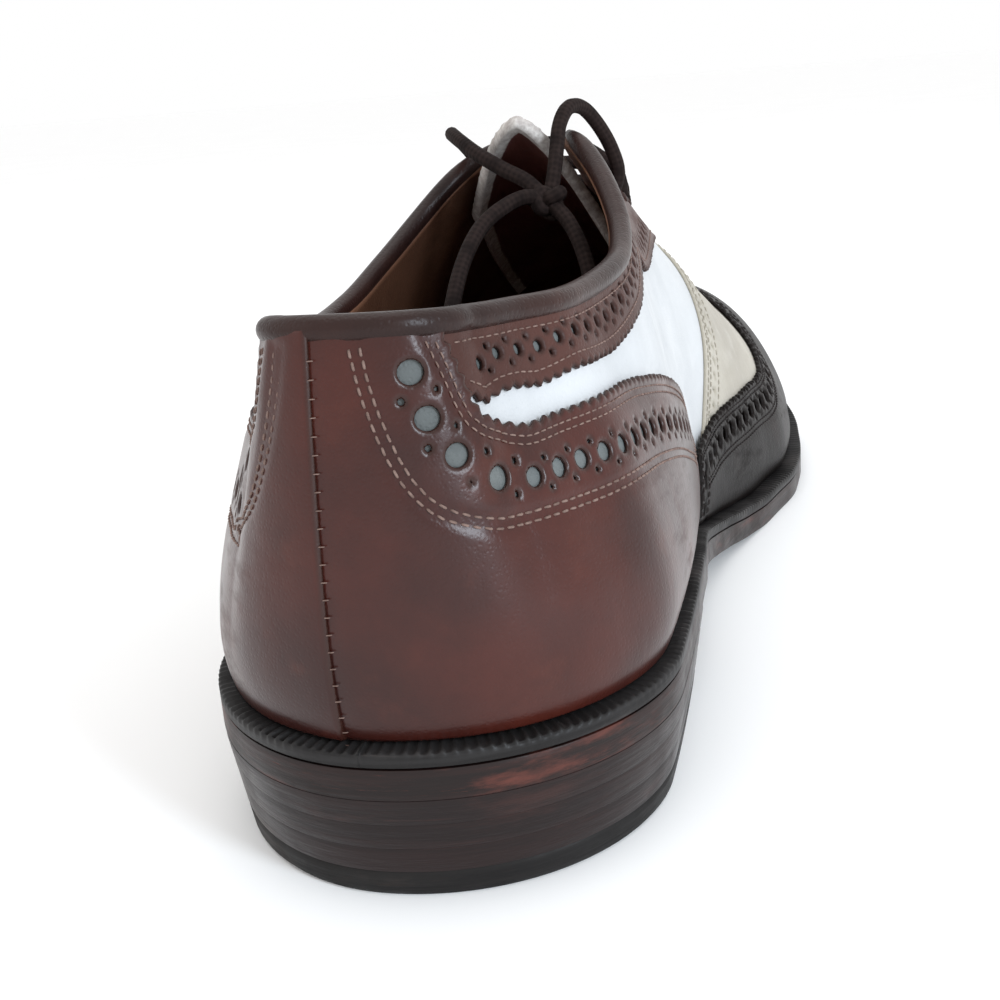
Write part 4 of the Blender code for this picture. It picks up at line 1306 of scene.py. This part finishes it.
def build_foxing():
    for sign, word in ((INNER, "inner"), (OUTER, "outer")):
        line, front, seam, top = (LINES[k] for k in ("fox_" + word, "front_" + word, "seam", "top_" + word))
        edge = pinked(line, 0.0023, 0.0009)
        punched = row_line(PUNCHED_BACK, PUNCHED_SIDE, sign)
        sewn = row_line(STITCHED_BACK, STITCHED_SIDE, sign)
        first, rest = row_spots(PUNCHED_BACK, PUNCHED_SIDE, sign)
        side_row = Line(smooth_path(rest, 0.0012), fit=True)
        spots = punch_rows(side_row, 0, 0.0050, 0.00145, 0.00042, 0.0, 0.118, 0.0022, 0.0)
        reach = Line(np.array(first + rest[:1]))
        for number, (here, after) in enumerate(zip(first, first[1:] + rest[:1])):
            here, after = np.array(here), np.array(after)
            run = (after - here) / np.linalg.norm(after - here)
            lift = np.cross(reach.normals[number], run) * 0.0024
            spots += [(here, 0.0017), ((here + after) / 2 + lift, 0.0005),
                      ((here + after) / 2 - lift, 0.0005)]
        spots = [(p, r) for p, r in spots if abs(seam.near(np.array([p]),
                                                           np.array([[0, 1.0, 0]]))[0][0]) > 0.006]
        spots = [(p, r) for p, r in spots if abs(front.near(np.array([p]), on_base([p])[1])[0][0]) > 0.0045]
        spots = [(p, r) for p, r in spots if abs(top.near(np.array([p]), on_base([p])[1])[0][0]) > 0.0026]
        if sign == INNER:
            s = arc_places(-S_FRONT, SEAM_AT + 0.005, 0.0005)
        else:
            s = arc_places(SEAM_AT, S_FRONT, 0.0005)
        grid = base_grid(s, rows_to(np.minimum(edge_turn(s), 0.62), 0.0005, 0.066))

        def field(points, normals, sign=sign, edge=edge, front=front, spots=spots):
            d = np.minimum(edge(points, normals), front.near(points, normals)[0])
            d = np.minimum(d, seam_gap(points, normals, sign))
            return np.minimum(d, discs(spots, points))

        def seam_gap(points, normals, sign, seam=seam):
            d = seam.near(points, normals)[0] * -sign
            return np.where(np.abs(d) < 0.02, d, 0.02) + (0.0007 if sign == INNER else 0.0)

        lines = [line.shift(0.0021), line.shift(0.0033), sewn.shift(0.0007), sewn.shift(-0.0007)]
        groove = grooves(*lines)

        def relief(points, normals, sign=sign, groove=groove, seam=seam):
            d = np.abs(seam.near(points, normals)[0])
            proud = (0.00055 * np.exp(-(d / 0.006) ** 2) if sign == OUTER
                     else -0.00020 * np.exp(-(d / 0.0016) ** 2))
            return groove(points, normals) + proud
        sheet(f"foxing_{word}_leather", [(grid, False)], 0.0009, 0.0017, FOX, "brown_leather",
              f"foxing_{word}",
              field=field, relief=relief)
        kept = []
        for number, moved in enumerate(lines):
            d = np.abs(seam.near(moved.points, moved.normals)[0])
            f = front.near(moved.points, moved.normals)[0]
            t = top.near(moved.points, moved.normals)[0]
            keep = (d > 0.0022) & (f > 0.0012) & (t > 0.0028)
            keep &= ((moved.points[:, 0] + MIDDLE < 0.0) if sign == INNER
                     else (moved.points[:, 0] + MIDDLE > 0.002))
            if keep.sum() > 5:
                kept.append((Line(moved.points[keep], fit=False), 0.0015 if number < 2 else 0.0017,
                             0.0011 if number < 2 else 0.0013, 0.00030 if number < 2 else 0.00042,
                             0.0017 - 0.00018))
        stitches(f"foxing_{word}_stitches", kept, THREAD_TAN, "brown_leather")

        def under(points, normals, line=punched, edge=line, front=front, top=top):
            band = np.minimum(0.0034 - np.abs(line.near(points, normals)[0]),
                              edge.near(points, normals)[0] - 0.001)
            return np.minimum(np.minimum(band, front.near(points, normals)[0] - 0.001),
                              top.near(points, normals)[0] - 0.001)
        thin = base_grid(arc_places(s[0], s[-1], 0.0012),
                         rows_to(np.minimum(edge_turn(arc_places(s[0], s[-1], 0.0012)),
                                                                           0.62), 0.0012, 0.066))
        sheet(f"foxing_{word}_underlay", [(thin, False)], 0.0001, 0.00082, UNDERLAY, "white_leather",
              field=under)


def build_stays():
    for sign, word in ((INNER, "inner"), (OUTER, "outer")):
        line, front, top = LINES["stay_" + word], LINES["stay_front_" + word], LINES["top_" + word]
        edge = pinked(line, 0.0023, 0.0009)
        fox = LINES["fox_" + word]
        spots = punch_rows(line, 0.0058, 0.0046, 0.00088, 0.00036, 0.0165, 0.170, 0.0017)
        spots = [(p, r) for p, r in spots if abs(front.near(np.array([p]), on_base([p])[1])[0][0]) > 0.004]
        s = arc_places(sign * float(along_at(0.0060)), sign * S_STAY, 0.0005)
        grid = base_grid(s, rows_to(edge_turn(s), 0.0005, 0.045, low=0.26))

        def field(points, normals, edge=edge, front=front, top=top, fox=fox, spots=spots):
            d = np.minimum(edge(points, normals), front.near(points, normals)[0])
            d = np.minimum(d, 0.0022 - fox.near(points, normals)[0])
            d = np.minimum(d, np.abs(top.near(points, normals)[0]) + 1e-6)
            return np.minimum(d, discs(spots, points))
        lines = [line.shift(0.0024), top.shift(0.0030)]
        sheet(f"stay_{word}_leather", [(grid, sign == INNER)], 0.0002, 0.0012, STAY, "brown_leather",
              f"stay_{word}",
              field=field, relief=grooves(*lines, depth=0.00018))
        kept = []
        for moved in lines:
            f = front.near(moved.points, moved.normals)[0]
            t = top.near(moved.points, moved.normals)[0]
            station = SOLE_LENGTH / 2 - moved.points[:, 1]
            keep = (f > 0.0012) & (t > 0.0026) & (station < STAY_FRONT)
            keep &= (fox.near(moved.points, moved.normals)[0] < -0.0010) & (station > 0.0105)
            if keep.sum() > 5:
                kept.append((Line(moved.points[keep], fit=False), 0.0015, 0.0011, 0.00030, 0.0012 - 0.00014))
        stitches(f"stay_{word}_stitches", kept, THREAD_TAN, "brown_leather")

        def under(points, normals, line=line, front=front, top=top, fox=fox):
            d = np.minimum(0.0026 - np.abs(line.near(points, normals)[0] - 0.0058),
                           front.near(points, normals)[0] - 0.001)
            return np.minimum(np.minimum(d, top.near(points, normals)[0] - 0.001),
                              0.001 - fox.near(points, normals)[0])
        rough = arc_places(s[0], s[-1], 0.0012)
        thin = base_grid(rough, rows_to(edge_turn(rough), 0.0012, 0.045, low=0.26))
        sheet(f"stay_{word}_underlay", [(thin, sign == INNER)], 0.00004, 0.00016, UNDERLAY, "white_leather",
              field=under)


def build_wing():
    lines = [LINES["wing_inner"], LINES["wing_outer"]]
    spots = []
    for line in lines:
        spots += punch_rows(line, 0.0062, 0.0058, 0.0017, 0.00055, 0.126, 0.300)
    centre = place(last(float(along_at(0.268)), 1.0))
    for count, reach, size in ((1, 0.0, 0.0013), (8, 0.0048, 0.00075), (8, 0.0088, 0.0012),
                               (12, 0.0125, 0.0006)):
        for k in range(count):
            angle = 2 * math.pi * (k + 0.5 * (count == 12)) / count
            spots.append((on_base([centre + np.array((math.cos(angle) * reach, math.sin(angle) * reach,
                                                      0.004))])[0][0],
                          size))

    def grid(sign):
        s = arc_places(0.40, 0.9999, 0.00095) * sign
        return base_grid(s, rows_to(np.full(len(s), 1.0), 0.00095, 0.105))
    edges = [pinked(line) for line in lines]

    def field(points, normals):
        inner_side = points[:, 0] + MIDDLE < ridge_x(points)
        d = np.where(inner_side, edges[0](points, normals), edges[1](points, normals))
        return np.minimum(d, discs(spots, points))

    def creases(points, normals):
        station = SOLE_LENGTH / 2 - points[:, 1]
        lift = grooves(*[line.shift(d) for line in lines for d in (0.0020, 0.0031, 0.0104, 0.0117)])(points,
                                                                                                     normals)
        for at, deep, lean in ((0.196, 0.00045, 0.10), (0.204, 0.0006, -0.08), (0.212, 0.0004, 0.05)):
            bend = at + lean * (points[:, 0] + MIDDLE)
            lift -= deep * np.exp(-((station - bend) / 0.0016) ** 2) * np.clip((points[:, 2] - 0.028) / 0.012,
                                                                               0, 1)
        return lift
    # The wing's near-black colour is painted shade laid over its brown leather
    sheet("wingtip_leather", both(grid), 0.0010, 0.0022, SHADE_DARKENED_WING, "dark_leather", "wingtip", field=field,
          relief=creases)

    def under(points, normals):
        inner_side = points[:, 0] + MIDDLE < ridge_x(points)
        d = np.where(inner_side, lines[0].near(points, normals)[0], lines[1].near(points, normals)[0])
        away = np.linalg.norm(points - centre, axis=1)
        return np.maximum(0.0032 - np.abs(d - 0.0062), 0.0155 - away)

    def thin(sign):
        s = arc_places(0.40, 0.9999, 0.0016) * sign
        return base_grid(s, rows_to(np.full(len(s), 1.0), 0.0016, 0.105))
    # The underlay below the wing's punches uses the same near-black leather with painted shade, so the
    # punches show dark
    sheet("wingtip_underlay", both(thin), 0.00085, 0.00098, SHADE_DARKENED_WING, "dark_leather", field=under)
    rows = []
    for line in lines:
        for d, pitch, length, thick in ((0.0020, 0.0018, 0.0013, 0.00036), (0.0031, 0.0018, 0.0013, 0.00036),
                                        (0.0104, 0.0018, 0.0013, 0.00036), (0.0117, 0.0018, 0.0013, 0.00036)):
            moved = line.shift(d)
            keep = moved.points[:, 2] > welt_top(SOLE_LENGTH / 2 - moved.points[:, 1]) + 0.003
            rows.append((Line(moved.points[keep], fit=False), pitch, length, thick, 0.0022 - 0.00014))
    stitches("wingtip_stitches", rows, THREAD_DARK, "dark_leather")


def ridge_x(points):
    return crest_side(SOLE_LENGTH / 2 - points[:, 1])


def build_binding():
    corners = {}
    for sign in (INNER, OUTER):
        s = sign * np.linspace(float(along_at(FACING_TOP - 0.02)), float(along_at(FACING_TOP + 0.02)), 400)
        past = topline_turn(s, BEAD / 2) - facing_turn(s)
        corners[sign] = abs(s[np.argmax(past > 0)])
    halves = []
    for sign in (INNER, OUTER):
        s = arc_places(0.0, corners[sign], 0.0009)[1:] * sign
        points = place(last(s, topline_turn(s, BEAD / 2)))
        points = points + on_base(points)[1] * GAP
        halves.append(points[::-1] if sign == INNER else points)
    path = np.concatenate(halves)
    smooth_x = path.copy()
    for _ in range(6):
        smooth_x[1:-1] = (smooth_x[:-2] + smooth_x[1:-1] * 2 + smooth_x[2:]) / 4
    radius = np.full(len(path), BEAD / 2)
    for k in range(6):
        radius[k] = radius[-1 - k] = BEAD / 2 * math.sqrt(1 - (1 - (k + 0.6) / 6.6) ** 2)
    tube("binding_roll", smooth_x, radius, BINDING, "binding_leather", "topline_binding", sides=20)
    rows = []
    for word in ("inner", "outer"):
        line = LINES["top_" + word]
        keep = SOLE_LENGTH / 2 - line.points[:, 1] < FACING_TOP - 0.004
        rows.append((Line(Line(line.points[keep], fit=False).points, seed=None, fit=False), 0.0020, 0.0014,
                     0.0004, 0.0023))
    return rows


def tongue_finish():
    m = Nodes("tongue_edge", (0.105, 0.028, 0.022), 0.62)
    edge = m.field("edge")
    wave = m.sum(edge, m.sum(m.noise(240, 4), 1.6, "MULTIPLY"), "ADD")
    pale = m.ramp(wave, 3.4, 4.1, 1.0, 0.0)
    body = m.mix(m.ramp(m.noise(60, 5), 0.4, 0.7), (0.105, 0.028, 0.022), (0.060, 0.016, 0.013))
    fuzz = m.mix(m.ramp(m.noise(700, 5, 0.7), 0.35, 0.7), (0.42, 0.38, 0.36), (0.68, 0.65, 0.62))
    m.colour(m.mix(pale, body, fuzz))
    m.rough(m.sum(m.sum(pale, 0.3, "MULTIPLY"), 0.6))
    m.bump(m.sum(m.noise(900, 6, 0.75), m.noise(300, 3)), 0.55, 0.0007)
    return m.finish


def build_tongue():
    grids, border = [], []
    for sign in (INNER, OUTER):
        edge = TONGUE_EDGE_INNER if sign == INNER else TONGUE_EDGE_OUTER
        turns = np.linspace(edge, 1.0, 50)
        start = TONGUE_TOP + TONGUE_ROUND * ((1 - turns) / (1 - edge)) ** 2
        share = np.linspace(0, 1, 110)[:, None]
        station = start[None, :] + (TONGUE_END - start[None, :]) * share
        grids.append((place(last(sign * along_at(station), np.broadcast_to(turns, station.shape))),
                      sign == INNER))
        side_edge = grids[-1][0][:, 0]
        top_edge = grids[-1][0][0]
        whole = np.concatenate([side_edge[::-1], top_edge[1:]])
        border.append(whole if sign == INNER else whole[::-1][1:])
    line = Line(np.concatenate(border), fit=False)

    def field(points, normals):
        return np.abs(line.near(points, normals)[0]) + 1e-6

    def relief(points, normals):
        d = np.abs(line.near(points, normals)[0])
        rough = np.sin(points[:, 0] * 5200) * np.sin(points[:, 1] * 4700) + np.sin(points[:, 2] * 3900)
        return np.where(d < 0.0035, rough * 0.00010, 0.0)
    sheet("tongue_leather", grids, -0.0058, -0.0033, tongue_finish(), "lining_leather", "tongue", field=field,
          relief=relief, floor=-1.0)


def build_eyelets():
    rows = []
    for sign in (INNER, OUTER):
        for i in range(BAR_COUNT + 1):
            a = BAR_FIRST + (BAR_LAST - BAR_FIRST) * (i - 1) / (BAR_COUNT - 1)
            s = np.array([sign * float(along_at(a))])
            reach = facing_half(np.array([a])) + EYELET_IN
            point = place(last(s, ridge_turn(s, reach)))[0]
            rows.append((point, on_base([point])[1][0], sign, i))
    for point, normal, sign, i in rows:
        side = np.cross(normal, (0, 1.0, 0))
        side /= np.linalg.norm(side)
        ahead = np.cross(side, normal)
        t = np.linspace(0, 2 * math.pi, 33)
        ring = point + normal * 0.0013 + (np.cos(t)[:, None] * side + np.sin(t)[:, None] * ahead) * 0.0021
        tube(f"eyelet_{'inner' if sign == INNER else 'outer'}_{i + 1}", ring, 0.00042, STAY, "brown_leather",
             sides=8, ends=False)


def build_seam_ticks():
    line = LINES["seam"]
    top = LINES["top_outer"]
    keep = (top.near(line.points, line.normals)[0] > 0.003)
    points, normals = Line(line.points[keep], fit=False).resample(0.0025)
    shape, faces = capsule(0.0011, 0.00020)
    all_points, all_faces, offset = [], [], 0
    for number, (point, normal) in enumerate(zip(points, normals)):
        up = np.array((0, 0, 1.0))
        across = np.cross(up, normal)
        across /= np.linalg.norm(across)
        across = across * math.cos(0.12) + up * math.sin(0.12) * (1 if number % 2 else 0.6)
        lift = np.cross(normal, across)
        all_points.append(point + normal * 0.00195 + across * 0.0002
                          + shape[:, :1] * across + shape[:, 1:2] * lift
                          + shape[:, 2:] * normal)
        all_faces += [tuple(c + offset for c in face) for face in faces]
        offset += len(shape)
    mesh_object("back_seam_ticks", np.concatenate(all_points), all_faces, THREAD_TAN, "brown_leather")


build_wall()
build_vamp()
build_foxing()
build_stays()
build_wing()
build_binding()
build_tongue()
build_eyelets()
build_seam_ticks()


# ---- floor and lights
def stage():
    m = Nodes("floor_paper", (1.0, 1.0, 1.0), 1.0)
    m.colour(m.mix(m.ramp(m.noise(6, 2), 0.3, 0.7), (1.0, 1.0, 1.0), (0.985, 0.985, 0.985)))
    size = 80.0
    mesh = bpy.data.meshes.new("floor")
    mesh.from_pydata([(-size, -size, 0), (size, -size, 0), (size, size, 0), (-size, size, 0)], [],
                     [(0, 1, 2, 3)])
    mesh.materials.append(m.finish)
    floor = bpy.data.objects.new("floor", mesh)
    bpy.context.collection.objects.link(floor)
    world = bpy.data.worlds.new("studio")
    world.use_nodes = True
    world.node_tree.nodes["Background"].inputs["Color"].default_value = (1.0, 1.0, 1.0, 1)
    world.node_tree.nodes["Background"].inputs["Strength"].default_value = 1.0
    bpy.context.scene.world = world
    for name, at, aim, size_x, size_y, power, colour in (
            ("top_light", (0.10, -0.10, 1.30), (0, 0, 0.05), 0.9, 0.9, 2.4, (1.0, 0.98, 0.95)),
            ("window_right", (-0.88, 0.62, 0.46), (0.0, 0.10, 0.05), 0.24, 0.62, 8.0, (0.80, 0.90, 1.0)),
            ("fill_left", (0.80, 0.60, 0.50), (0.0, 0.10, 0.05), 0.6, 0.6, 0.5, (1.0, 0.95, 0.90))):
        lamp = bpy.data.lights.new(name, "AREA")
        lamp.shape = "RECTANGLE"
        lamp.size, lamp.size_y = size_x, size_y
        lamp.energy = power
        lamp.color = colour
        light = bpy.data.objects.new(name, lamp)
        light.location = at
        light.rotation_euler = (Vector(aim) - Vector(at)).to_track_quat("-Z", "Y").to_euler()
        bpy.context.collection.objects.link(light)
    bpy.context.scene.view_settings.view_transform = "Standard"


stage()
